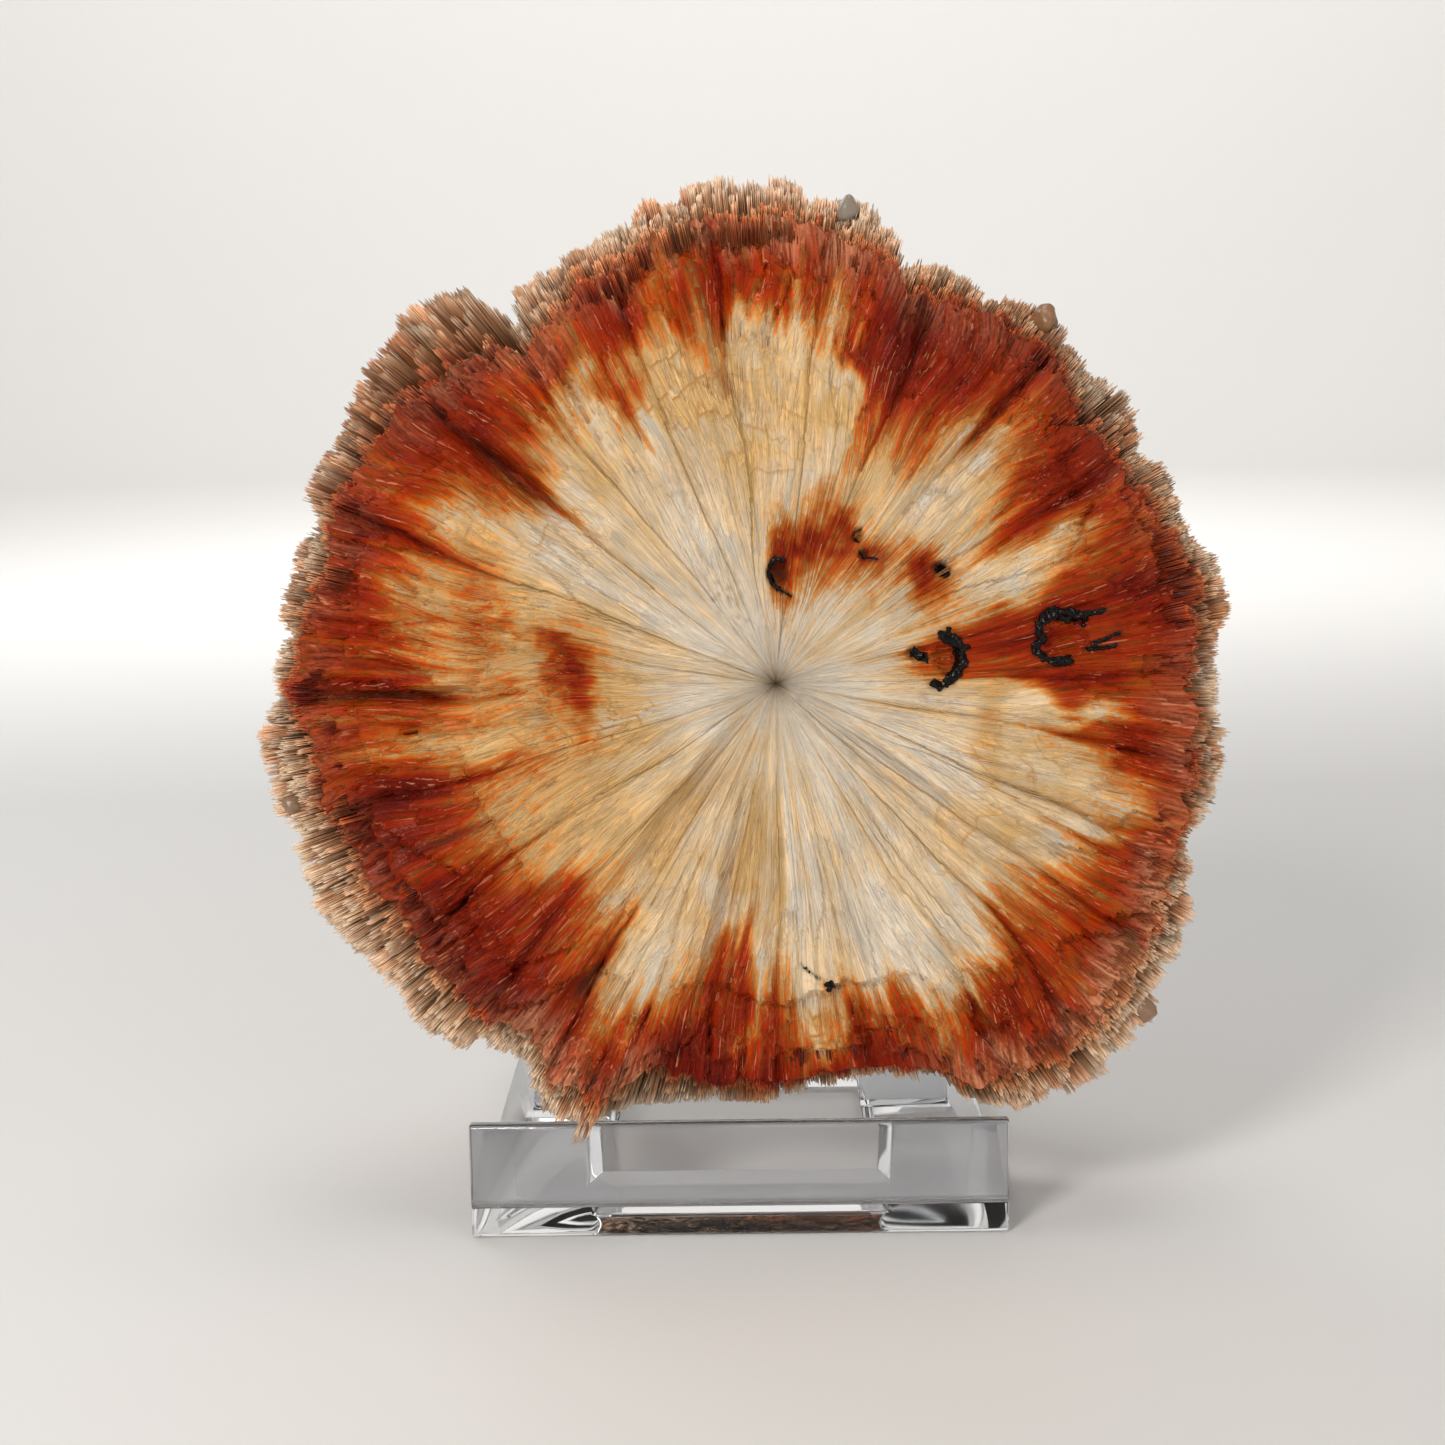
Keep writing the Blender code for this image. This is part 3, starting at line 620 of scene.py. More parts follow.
def gridFaces(columns, rings):
    # quads of rings of columns that close on themselves, with a point at each end
    ring, column = np.meshgrid(np.arange(rings - 1), np.arange(columns), indexing="ij")
    here, beside = ring * columns + column, ring * columns + (column + 1) % columns
    quads = np.stack([here, here + columns, beside + columns, beside], -1).reshape(-1, 4) + 1
    last = columns * rings + 1
    first = [(0, 1 + c, 1 + (c + 1) % columns) for c in range(columns)]
    end = [(last, last - columns + (c + 1) % columns, last - columns + c) for c in range(columns)]
    return quads.tolist() + first + end


bodyGrid = {"columns": 720, "faceRings": 96, "rimRings": 8, "domeRings": 14, "inset": 1.7, "sharpDegrees": 42}


def fringeHeight(degrees, share):
    # how far out the fringe's front lies, from the face edge at share 0 to the tips at share 1
    step = aroundTable(faceEdge, degrees, 2)
    return coarseHeight(degrees, edgeRadius(degrees)) - step * softStep(0, 0.15, share) - 3.0 * share**1.3


def domePlace(degrees, share):
    # the domed back, from behind the tips at share 0 to the pole at share 1
    start = math.radians(spray["domeStartDegrees"])
    turn = start + (math.pi / 2 - start) * share
    reach = spray["domeRadius"] + (1 - share) ** 2 * (aroundTable(outline, degrees) - spray["domeRadius"])
    radius = reach * np.cos(turn) ** 0.78
    behind = spray["depth"] * np.sin(turn) ** 0.95
    right, up = acrossFace(degrees, radius)
    lump = latticeNoise(right * 0.07, up * 0.07, behind * 0.07, 81)
    lump = lump + 0.5 * latticeNoise(right * 0.16, up * 0.16, behind * 0.16, 82)
    swell = 1 + (spray["lumps"] * (lump - 1)) / np.hypot(radius, behind)
    return radius * swell, -behind * swell


# The stand's faces that the spray keeps clear of, in mm
standFaces = {
    "restLeanDegrees": 6,
    "restFoot": (43.0, 3.4),  # behind and above the lip's foot
    "halfWidth": 38.5,
    "gap": 0.25,
    "mostMoved": 4.0,  # a needle that would have to draw back further is left out
}


def keptClear(places):
    # moves points that would reach through the stand's rest or its lip, in the frame
    foot, lean, gap = np.array(lipFoot), math.radians(standFaces["restLeanDegrees"]), standFaces["gap"] * mm
    behind, above = standFaces["restFoot"]
    short = (places[:, 1] - foot[1] - behind * mm) * -math.cos(lean)
    short = short + (places[:, 2] - foot[2] - above * mm) * math.sin(lean) - gap
    over = np.minimum(short, 0)
    places = places.copy()
    places[:, 1] += over * math.cos(lean)
    places[:, 2] -= over * math.sin(lean)
    overStand = (places[:, 1] > foot[1] - gap) & (np.abs(places[:, 0] - foot[0]) < standFaces["halfWidth"] * mm)
    seat = foot[2] + spray["seatHeight"] * mm
    places[:, 2] = np.where(overStand, np.maximum(places[:, 2], seat), places[:, 2])
    return places


def makeBody():
    columns, inset = bodyGrid["columns"], bodyGrid["inset"]
    degrees = np.arange(columns) * 360 / columns
    edge, reach = edgeRadius(degrees), aroundTable(outline, degrees)
    rows = []
    for ring in range(1, bodyGrid["faceRings"] + 1):
        radius = edge * ring / bodyGrid["faceRings"]
        rows.append((radius, faceHeight(degrees, radius), rustAt(degrees, radius)))
    edgeHeight = rows[-1][1]
    for ring in range(bodyGrid["rimRings"]):
        share = ring / (bodyGrid["rimRings"] - 1)
        radius = np.maximum(edge + (reach - edge) * share - inset * share, edge + 0.1 * (ring == 0))
        out = fringeHeight(degrees, np.full(columns, share)) - 0.5 - 1.2 * softStep(0, 0.3, share)
        rows.append((radius, np.minimum(out, edgeHeight - 0.4), np.full(columns, 0.9 - 0.5 * share)))
    for ring in range(bodyGrid["domeRings"]):
        radius, out = domePlace(degrees, ring / bodyGrid["domeRings"])
        shrink = 1 - inset / np.hypot(radius, out)
        rows.append((radius * shrink, out * shrink, np.full(columns, 0.35)))
    radius, out, rust = (np.array([row[index] for row in rows]) for index in range(3))
    right, up = acrossFace(degrees, radius)
    turns = np.broadcast_to(degrees, radius.shape)
    onFace = np.arange(len(rows))[:, None] < bodyGrid["faceRings"]
    grainRight, grainUp = grainAt(turns, radius)
    values = {  # on the rings, at the hub, and at the middle of the back
        "rust": (rust, 0.3, 0.35),
        "warm": (warmAt(turns, radius), 0.3, 0.5),
        "outer": (softStep(6, 20, radius), 0, 0),  # where the fine streaks take over from those near the hub
        "grain": (np.stack([grainRight, -out, grainUp], -1), (0, 0, 0), (0, spray["depth"], 0)),
        "grime": (np.where(onFace, grimeAndShadeAt(turns, radius), 0), 0.9, 0),
        "soot": (np.where(onFace, sootAt(right, up), 0), 0.5, 0),
        "crack": (np.where(onFace, crackAt(right, up), 0), 0, 0),
        "bare": (np.where(onFace, bareAt(turns, radius), 0), 0, 0),
        "skin": (np.where(onFace, 0, 1) * np.ones(radius.shape), 0, 1),
    }
    joined = {
        key: np.concatenate([[first], numbers.reshape(-1, *numbers.shape[2:]), [last]])
        for key, (numbers, first, last) in values.items()
    }
    hub = toFrame(0.0, 0.0, np.array(-faceRelief["hubPit"][1])).reshape(1, 3)
    back = toFrame(0.0, 0.0, np.array(2.5 - spray["depth"])).reshape(1, 3)
    places = keptClear(np.concatenate([hub, toFrame(right, up, out).reshape(-1, 3), back]))
    piece = makeMesh("sprayBody", places, gridFaces(columns, len(rows)), joined, smooth=True)
    piece.data.set_sharp_from_angle(angle=math.radians(bodyGrid["sharpDegrees"]))
    return piece


# Shader nodes
def settle(socket, value):
    # a colour may leave out its alpha
    socket.default_value = (*value, 1) if socket.type == "RGBA" else value


def put(tree, kind, inputs=None, **settings):
    made = tree.nodes.new(kind)
    for name, value in settings.items():
        setattr(made, name, value)
    for key, value in (inputs or {}).items():
        if isinstance(value, bpy.types.NodeSocket):
            tree.links.new(value, made.inputs[key])
        else:
            settle(made.inputs[key], value)
    return made


def calc(tree, operation, *values):
    return put(tree, "ShaderNodeMath", dict(enumerate(values)), operation=operation).outputs[0]


def times(tree, first, second):
    return calc(tree, "MULTIPLY", first, second)


def ranged(tree, value, low, high, first=0.0, last=1.0):
    inputs = {"Value": value, "From Min": low, "From Max": high, "To Min": first, "To Max": last}
    return put(tree, "ShaderNodeMapRange", inputs, interpolation_type="SMOOTHSTEP").outputs["Result"]


def centred(tree, value, amount):
    # a 0 to 1 value as plus or minus half of the amount
    return times(tree, calc(tree, "SUBTRACT", value, 0.5), amount)


def summed(tree, *values):
    total = values[0]
    for value in values[1:]:
        total = calc(tree, "ADD", total, value)
    return total


def addedUp(tree, patterns, shares):
    # each pattern as plus or minus half of its share
    return summed(tree, *(centred(tree, patterns[name], share) for name, share in shares.items()))


def multiplied(tree, patterns, ranges):
    # each pattern as a shade: from and to these values, darkest and lightest
    total = 1.0
    for name, numbers in ranges.items():
        total = times(tree, total, ranged(tree, patterns[name], *numbers))
    return total


def blended(tree, share, first, second, kind="MIX"):
    made = put(tree, "ShaderNodeMix", {0: share, 6: first, 7: second}, data_type="RGBA", blend_type=kind)
    return made.outputs[2]


def shaded(tree, colour, shade):
    grey = put(tree, "ShaderNodeCombineColor", {0: shade, 1: shade, 2: shade}).outputs[0]
    return blended(tree, 1.0, colour, grey, "MULTIPLY")


def colourRamp(tree, value, stops):
    made = put(tree, "ShaderNodeValToRGB", {0: value})
    while len(made.color_ramp.elements) < len(stops):
        made.color_ramp.elements.new(0.5)
    for element, (place, colour) in zip(made.color_ramp.elements, stops):
        element.position = place
        element.color = (*colour, 1)
    return made.outputs["Color"]


def readNumber(tree, name):
    return put(tree, "ShaderNodeAttribute", attribute_name=name).outputs["Fac"]


def onObject(tree):
    return put(tree, "ShaderNodeTexCoord").outputs["Object"]


def cloudNoise(tree, scale, detail):
    inputs = {"Vector": onObject(tree), "Scale": scale, "Detail": detail}
    return put(tree, "ShaderNodeTexNoise", inputs).outputs[0]


def newGroup(name, inputs, outputs):
    group = bpy.data.node_groups.new(name, "ShaderNodeTree")
    for socket, value in inputs.items():
        group.interface.new_socket(socket, in_out="INPUT", socket_type="NodeSocketFloat").default_value = value
    for socket in outputs:
        group.interface.new_socket(socket, in_out="OUTPUT", socket_type="NodeSocketFloat")
    return group, group.nodes.new("NodeGroupInput").outputs, group.nodes.new("NodeGroupOutput").inputs


def fromHub(tree):
    # where the pattern is read: millimetres from the hub (right, behind, up), the direction and the distance
    local = put(tree, "ShaderNodeAttribute", attribute_name="grain").outputs["Vector"]
    heading = put(tree, "ShaderNodeVectorMath", {0: local}, operation="NORMALIZE").outputs[0]
    distance = put(tree, "ShaderNodeVectorMath", {0: local}, operation="LENGTH").outputs["Value"]
    return local, heading, distance


def drawnOut(tree, heading, distance, around, along, shift, detail=0.0):
    # noise over the direction from the hub, drawn out along the needles
    turned = put(tree, "ShaderNodeVectorMath", {0: heading, "Scale": around}, operation="SCALE").outputs[0]
    away = put(tree, "ShaderNodeCombineXYZ", {1: calc(tree, "MULTIPLY_ADD", distance, along, shift)}).outputs[0]
    vector = put(tree, "ShaderNodeVectorMath", {0: turned, 1: away}, operation="ADD").outputs[0]
    inputs = {"Vector": vector, "Scale": 1.0, "Detail": detail, "Roughness": 0.6}
    return put(tree, "ShaderNodeTexNoise", inputs, noise_dimensions="3D").outputs[0]


def makeFibreGroup():
    # streaks along every needle
    inputs = {"Around": 40.0, "Along": 0.05, "Detail": 2.0, "Shift": 0.0}
    group, given, result = newGroup("radialFibres", inputs, ["Streak"])
    heading, distance = fromHub(group)[1:]
    along, shift, detail = given["Along"], given["Shift"], given["Detail"]
    streak = drawnOut(group, heading, distance, given["Around"], along, shift, detail)
    group.links.new(streak, result["Streak"])


def makeBundleGroup():
    # bundles of needles side by side, each broken across in places
    inputs = {"Count": 200.0, "Length": 6.0, "Waver": 1.5, "Stagger": 0.5, "Shift": 0.0}
    group, given, result = newGroup("brokenBundles", inputs, ["Tone", "Height", "Crack", "Rim"])
    shift = given["Shift"]

    def whiteNoise(*parts):
        seat = put(group, "ShaderNodeCombineXYZ", dict(enumerate(parts))).outputs[0]
        return put(group, "ShaderNodeTexWhiteNoise", {"Vector": seat}, noise_dimensions="3D").outputs["Value"]

    local, heading, distance = fromHub(group)
    parts = put(group, "ShaderNodeSeparateXYZ", {0: local}).outputs
    turn = calc(group, "DIVIDE", calc(group, "ARCTAN2", parts[2], parts[0]), math.tau)
    waver = centred(group, drawnOut(group, heading, distance, 9.0, 0.05, shift), 2.0)
    place = calc(group, "MULTIPLY_ADD", turn, given["Count"], times(group, waver, given["Waver"]))
    column = calc(group, "FLOOR", place)
    own = times(group, whiteNoise(column, shift), given["Stagger"])
    shared = times(group, drawnOut(group, heading, distance, 3.0, 0.0, shift), 7.0)
    phase = summed(group, calc(group, "DIVIDE", distance, given["Length"]), shared, own)
    along = calc(group, "FRACT", phase)
    tone = whiteNoise(column, calc(group, "FLOOR", phase), shift)

    side = calc(group, "PINGPONG", place, 0.5)
    crack = ranged(group, along, 0.88, 0.96)
    height = calc(group, "MULTIPLY_ADD", tone, 0.6, times(group, along, 0.4))
    height = times(group, height, calc(group, "MULTIPLY_ADD", ranged(group, side, 0.0, 0.14), 0.4, 0.6))
    found = {
        "Tone": tone,
        "Height": calc(group, "SUBTRACT", height, times(group, crack, 0.1)),
        "Crack": crack,
        "Rim": calc(group, "MAXIMUM", crack, ranged(group, side, 0.0, 0.09, 0.8, 0.0)),
    }
    for name, value in found.items():
        group.links.new(value, result[name])


def grouped(tree, name, values):
    made = put(tree, "ShaderNodeGroup", dict(enumerate(values)), node_tree=bpy.data.node_groups[name])
    return made.outputs


def newMaterial(name, plain):
    # what is the same all over goes on the shader's own sockets
    material = bpy.data.materials.new(name)
    material.use_nodes = True
    shader = material.node_tree.nodes["Principled BSDF"]
    for key, value in plain.items():
        settle(shader.inputs[key], value)
    return material, material.node_tree, shader


stoneFinish = {
    "white": (0.86, 0.755, 0.615),
    "cream": (0.82, 0.60, 0.36),
    "honey": (0.62, 0.35, 0.095),
    # by how rusty the needles are
    "stops": (
        (0.0, (0.80, 0.58, 0.34)), (0.16, (0.76, 0.44, 0.17)), (0.31, (0.64, 0.26, 0.060)),
        (0.47, (0.48, 0.095, 0.006)), (0.62, (0.37, 0.034, 0.0015)), (0.80, (0.25, 0.012, 0.0005)),
        (1.0, (0.12, 0.005, 0.001)),
    ),
    "bare": (0.57, 0.25, 0.125),
    # painted shade and dirt: grey-brown on clean needles, dark red-brown in the rust
    "grime": (0.20, 0.13, 0.075),
    "rustyGrimeAndShade": (0.055, 0.012, 0.004),
    "line": (0.44, 0.29, 0.16),
    "crack": (0.50, 0.25, 0.07),
    # painted highlight: pale pinkish glints along the rusty fibres
    "glint": (0.68, 0.29, 0.14),
    "soot": (0.006, 0.005, 0.005),
    "skin": ((0.42, 0.24, 0.13), (0.12, 0.055, 0.025)),  # needle ends darkened as painted shade under the fringe, and darker painted shade in the gaps between them
    "skinScale": 1000.0,
    # around, along, detail and shift
    "streaks": {
        "fine": (170, 0.09, 1, 0), "feather": (112, 0.03, 2, 3), "middling": (55, 0.04, 2, 0),
        "inner": (22, 0.12, 2.5, 6),
    },
    # count, length, waver, stagger and shift
    "bundles": {"large": (66, 5.5, 3.0, 1.3, 2), "small": (430, 4.5, 3.0, 1.5, 5)},
    "clouds": {"clouds": (220, 2), "specks": (1700, 1)},  # scale and detail
    # how much each pattern shifts the rust, the warmth of clean needles, the shade of rusty ones, and the bump
    "mottle": {
        "feather": 0.65, "middling": 0.45, "fine": 0.55, "clouds": 0.36, "small": 0.12, "large": 0.06,
        "specks": 0.2,
    },
    "warmth": {"large": 0.4, "clouds": 0.7, "middling": 1.1, "feather": 1.4, "fine": 1.0},
    "fibrous": {"fine": 1.3, "feather": 1.3, "specks": 0.7},
    "relief": {"middling": 0.7, "feather": 0.7, "fine": 0.6, "specks": 0.5},
    # from and to these values of the pattern, darkest and lightest shade
    "light": {
        "fine": (0.38, 0.6, 0.83, 1.09), "feather": (0.43, 0.57, 0.87, 1.07), "small": (0, 1, 0.93, 1.05),
        "large": (0, 1, 0.89, 1.08), "clouds": (0.3, 0.65, 0.93, 1.06),
    },
    "roughness": (0.26, 0.6),
    "bump": 0.00024,
    "plain": {"Specular IOR Level": 0.09},
}


def stoneMaterial():
    look = stoneFinish
    material, tree, shader = newMaterial("scoleciteFace", look["plain"])
    names = ("rust", "warm", "outer", "grime", "soot", "crack", "bare", "skin")
    painted = {name: readNumber(tree, name) for name in names}
    streaks = look["streaks"].items()
    patterns = {name: grouped(tree, "radialFibres", values)["Streak"] for name, values in streaks}
    patterns |= {name: cloudNoise(tree, *values) for name, values in look["clouds"].items()}
    bundles = {name: grouped(tree, "brokenBundles", values) for name, values in look["bundles"].items()}
    patterns |= {name: outputs["Tone"] for name, outputs in bundles.items()}
    outer, cracked = painted["outer"], painted["crack"]
    patterns["fine"] = blended(tree, outer, patterns["inner"], patterns["fine"])
    fine, clouds, smallTone = patterns["fine"], patterns["clouds"], patterns["small"]

    # how rusty it is, and how warm where it is clean
    spread = ranged(tree, painted["rust"], -0.2, 0.25)
    stained = calc(tree, "MULTIPLY_ADD", addedUp(tree, patterns, look["mottle"]), spread, painted["rust"])
    rusty = ranged(tree, stained, 0.2, 0.5)
    uneven = addedUp(tree, patterns, look["warmth"])
    uneven = times(tree, uneven, ranged(tree, painted["warm"], 0.0, 0.7, 0.2, 1.0))
    crackled = times(tree, cracked, ranged(tree, clouds, 0.4, 0.62, 0.0, 0.8))
    plates = times(tree, cracked, centred(tree, patterns["large"], 1.1))
    warm = summed(tree, painted["warm"], uneven, crackled, plates)

    pale = blended(tree, ranged(tree, warm, 0.0, 0.9), look["white"], look["cream"])
    pale = blended(tree, ranged(tree, warm, 0.9, 1.7, 0.0, 0.8), pale, look["honey"])
    lines = times(tree, ranged(tree, fine, 0.54, 0.66), ranged(tree, smallTone, 0.2, 1, 0.0, 0.6))
    pale = blended(tree, times(tree, lines, ranged(tree, outer, 0, 1, 0.2, 1)), pale, look["line"])
    colour = blended(tree, ranged(tree, stained, -0.06, 0.30), pale, colourRamp(tree, stained, look["stops"]))
    bare = times(tree, painted["bare"], ranged(tree, patterns["middling"], 0.35, 0.6, 0.35, 1.0))
    colour = blended(tree, bare, colour, look["bare"])

    # painted light and shade in streaks along the fibres, with their own tone, fainter round the hub and
    # stronger in the rust
    light = calc(tree, "SUBTRACT", multiplied(tree, patterns, look["light"]), 1.0)
    light = calc(tree, "MULTIPLY_ADD", light, ranged(tree, outer, 0, 1, 0.5, 1), 1.0)
    light = calc(tree, "MULTIPLY_ADD", addedUp(tree, patterns, look["fibrous"]), rusty, light)
    colour = shaded(tree, colour, light)
    # painted glints: pale streaks along the rusty fibres stand in for highlights
    glint = times(tree, ranged(tree, fine, 0.60, 0.68, 0.0, 0.6), ranged(tree, smallTone, 0.4, 0.9))
    colour = blended(tree, times(tree, glint, rusty), colour, look["glint"])

    cracks = calc(tree, "MAXIMUM", bundles["large"]["Rim"], times(tree, bundles["small"]["Crack"], 0.4))
    cracked = times(tree, cracked, ranged(tree, stained, 0.3, 0.6, 1.0, 0.15))
    colour = blended(tree, times(tree, cracks, cracked), colour, look["crack"])
    # painted shade in the troughs and crevices, darker round the hub, and dirt
    colour = blended(tree, painted["grime"], colour, blended(tree, rusty, look["grime"], look["rustyGrimeAndShade"]))
    # on the rim and back under the needles: needle ends, with painted shade in the gaps between them
    inputs = {"Vector": onObject(tree), "Scale": look["skinScale"]}
    ends = put(tree, "ShaderNodeTexVoronoi", inputs).outputs["Distance"]
    colour = blended(tree, painted["skin"], colour, blended(tree, ranged(tree, ends, 0.25, 0.6), *look["skin"]))
    colour = blended(tree, painted["soot"], colour, look["soot"])
    tree.links.new(colour, shader.inputs["Base Color"])

    height = addedUp(tree, patterns, look["relief"])
    for name, share in (("large", 0.6), ("small", 0.5)):
        height = calc(tree, "ADD", height, times(tree, bundles[name]["Height"], share))
    height = calc(tree, "SUBTRACT", height, times(tree, ends, times(tree, painted["skin"], 3.0)))
    bump = put(tree, "ShaderNodeBump", {"Height": height, "Strength": 1.0, "Distance": look["bump"]})
    tree.links.new(bump.outputs[0], shader.inputs["Normal"])
    tree.links.new(ranged(tree, smallTone, 0, 1, *look["roughness"]), shader.inputs["Roughness"])
    return material


needleFinish = {
    "tip": (0.87, 0.67, 0.48),
    "shaft": (0.53, 0.30, 0.16),
    # painted shade towards the root, where the needles crowd, over their own browner colour
    "root": (0.25, 0.11, 0.045),
    "shaftShare": (0.35, 0.85),  # how far along the needle one colour turns into the next
    "tipShare": (0.78, 0.96),
    # by how rusty the needle is
    "stops": (
        (0.0, (1.0, 1.0, 1.0)), (0.35, (0.95, 0.60, 0.38)), (0.7, (0.82, 0.22, 0.07)),
        (1.0, (0.62, 0.07, 0.01)),
    ),
    "tone": (0.42, 1.35),
    "plain": {"Roughness": 0.33, "Specular IOR Level": 0.35},
}


def needleMaterial():
    look = needleFinish
    material, tree, shader = newMaterial("needleTips", look["plain"])
    along = readNumber(tree, "along")
    # darker towards the root as painted shade among the crowded needles, paler towards the tip
    colour = blended(tree, ranged(tree, along, *look["shaftShare"]), look["root"], look["shaft"])
    colour = blended(tree, ranged(tree, along, *look["tipShare"]), colour, look["tip"])
    stained = colourRamp(tree, readNumber(tree, "rust"), look["stops"])
    colour = blended(tree, 1.0, colour, stained, "MULTIPLY")
    colour = shaded(tree, colour, ranged(tree, readNumber(tree, "tone"), 0, 1, *look["tone"]))
    tree.links.new(colour, shader.inputs["Base Color"])
    return material


splinterFinish = {"tone": (0.86, 1.06), "plain": {"Roughness": 0.42, "Specular IOR Level": 0.25}}


def splinterMaterial():
    look = splinterFinish
    material, tree, shader = newMaterial("faceSplinters", look["plain"])
    tone = readNumber(tree, "tone")
    stained = calc(tree, "ADD", readNumber(tree, "rust"), centred(tree, tone, 0.2))
    pale = blended(tree, readNumber(tree, "warm"), stoneFinish["white"], stoneFinish["cream"])
    rusty = colourRamp(tree, stained, stoneFinish["stops"])
    colour = blended(tree, ranged(tree, stained, 0.0, 0.22), pale, rusty)
    colour = shaded(tree, colour, ranged(tree, tone, 0, 1, *look["tone"]))
    tree.links.new(colour, shader.inputs["Base Color"])
    return material


# Geometry Nodes that stand a needle on every point
needleShape = {"Sides": 3, "Shoulder": 0.96, "Shoulder Girth": 0.85, "Spin Seed": 5}
splinterShape = {"Sides": 3, "Shoulder": 0.8, "Shoulder Girth": 0.8, "Spin Seed": 7}


def makeNeedleTree():
    tree = bpy.data.node_groups.new("needlesOnPoints", "GeometryNodeTree")
    kinds = {
        "Geometry": "NodeSocketGeometry", "Sides": "NodeSocketInt", "Shoulder": "NodeSocketFloat",
        "Shoulder Girth": "NodeSocketFloat", "Spin Seed": "NodeSocketInt", "Material": "NodeSocketMaterial",
    }
    for name, kind in kinds.items():
        socket = tree.interface.new_socket(name, in_out="INPUT", socket_type=kind)
        if name in needleShape:
            socket.default_value = needleShape[name]
    tree.interface.new_socket("Geometry", in_out="OUTPUT", socket_type="NodeSocketGeometry")
    given, result = tree.nodes.new("NodeGroupInput").outputs, tree.nodes.new("NodeGroupOutput").inputs

    def parted():
        place = put(tree, "GeometryNodeInputPosition").outputs[0]
        return put(tree, "ShaderNodeSeparateXYZ", {0: place}).outputs

    def numbersNamed(name):
        return put(tree, "GeometryNodeInputNamedAttribute", {"Name": name}, data_type="FLOAT_VECTOR").outputs[0]

    # one needle, a unit long and a unit in radius: a cone of two stages with its middle ring pushed out
    cone = {"Vertices": given["Sides"], "Side Segments": 2, "Radius Top": 0.0, "Radius Bottom": 1.0}
    cone["Depth"] = 1.0
    needle = put(tree, "GeometryNodeMeshCone", cone, fill_type="NGON").outputs["Mesh"]
    right, up, height = parted()
    halfway = {0: height, 1: 0.5, "Epsilon": 0.1}
    inMiddle = put(tree, "FunctionNodeCompare", halfway, operation="EQUAL").outputs[0]
    pushed = times(tree, given["Shoulder Girth"], 2.0)
    shoulder = {0: times(tree, right, pushed), 1: times(tree, up, pushed), 2: given["Shoulder"]}
    raised = put(tree, "ShaderNodeCombineXYZ", shoulder).outputs[0]
    moved = {"Geometry": needle, "Selection": inMiddle, "Position": raised}
    needle = put(tree, "GeometryNodeSetPosition", moved).outputs[0]
    stored = {"Geometry": needle, "Name": "along", "Value": parted()[2]}
    needle = put(tree, "GeometryNodeStoreNamedAttribute", stored, data_type="FLOAT", domain="POINT").outputs[0]
    needle = put(tree, "GeometryNodeSetShadeSmooth", {0: needle}).outputs[0]

    aim = numbersNamed("aim")
    aligned = put(tree, "FunctionNodeAlignRotationToVector", {"Vector": aim}, axis="Z").outputs[0]
    spin = {2: 0.0, 3: math.tau, "Seed": given["Spin Seed"]}
    spin = put(tree, "FunctionNodeRandomValue", spin, data_type="FLOAT").outputs[1]
    spun = put(tree, "FunctionNodeAxisAngleToRotation", {"Axis": (0, 0, 1), "Angle": spin}).outputs[0]
    turned = put(tree, "FunctionNodeRotateRotation", {0: aligned, 1: spun}, rotation_space="LOCAL").outputs[0]
    points = put(tree, "GeometryNodeMeshToPoints", {"Mesh": given["Geometry"]}).outputs[0]
    stood = {"Points": points, "Instance": needle, "Rotation": turned, "Scale": numbersNamed("size")}
    placed = put(tree, "GeometryNodeInstanceOnPoints", stood).outputs[0]
    real = put(tree, "GeometryNodeRealizeInstances", {0: placed}).outputs[0]
    dressed = put(tree, "GeometryNodeSetMaterial", {"Geometry": real, "Material": given["Material"]}).outputs[0]
    tree.links.new(dressed, result[0])


def growNeedles(name, tips, aims, lengths, girths, values, material, shape=needleShape):
    # one plain mesh of needles from tips and headings (right, up, out), lengths and half widths, all in mm
    tipPlaces, rootPlaces = toFrame(*tips.T), toFrame(*(tips - aims * lengths[:, None]).T)
    moved = keptClear(tipPlaces) - tipPlaces  # a needle that would reach the stand draws back
    tipPlaces, rootPlaces = tipPlaces + moved, rootPlaces + moved
    keep = np.linalg.norm(moved, axis=1) < standFaces["mostMoved"] * mm
    for places in (tipPlaces, rootPlaces):
        keep &= np.all(np.isclose(keptClear(places), places, atol=1e-6), axis=1)
    size = np.stack([girths, girths, lengths], -1) * mm
    values = {"aim": unit(tipPlaces - rootPlaces), "size": size, **values}
    seeds = makeMesh(name, rootPlaces[keep], [], {key: numbers[keep] for key, numbers in values.items()})
    grow = seeds.modifiers.new("needles", "NODES")
    grow.node_group = bpy.data.node_groups["needlesOnPoints"]
    for item in grow.node_group.interface.items_tree:
        if item.in_out == "INPUT" and item.name in shape:
            grow[item.identifier] = shape[item.name]
        if item.in_out == "INPUT" and item.name == "Material":
            grow[item.identifier] = material
    piece = applied(seeds)
    if not piece.data.materials:
        piece.data.materials.append(material)
    triangles = sum(len(face.vertices) - 2 for face in piece.data.polygons)
    print(name, int(keep.sum()), "needles,", triangles, "triangles")
    return piece


def unit(vectors):
    return vectors / np.linalg.norm(vectors, axis=-1, keepdims=True)


# How much the needles of one bundle differ
bundleSpread = {"swerve": 0.012, "lengths": (0.85, 1.15), "rust": 0.06, "tone": 0.1}


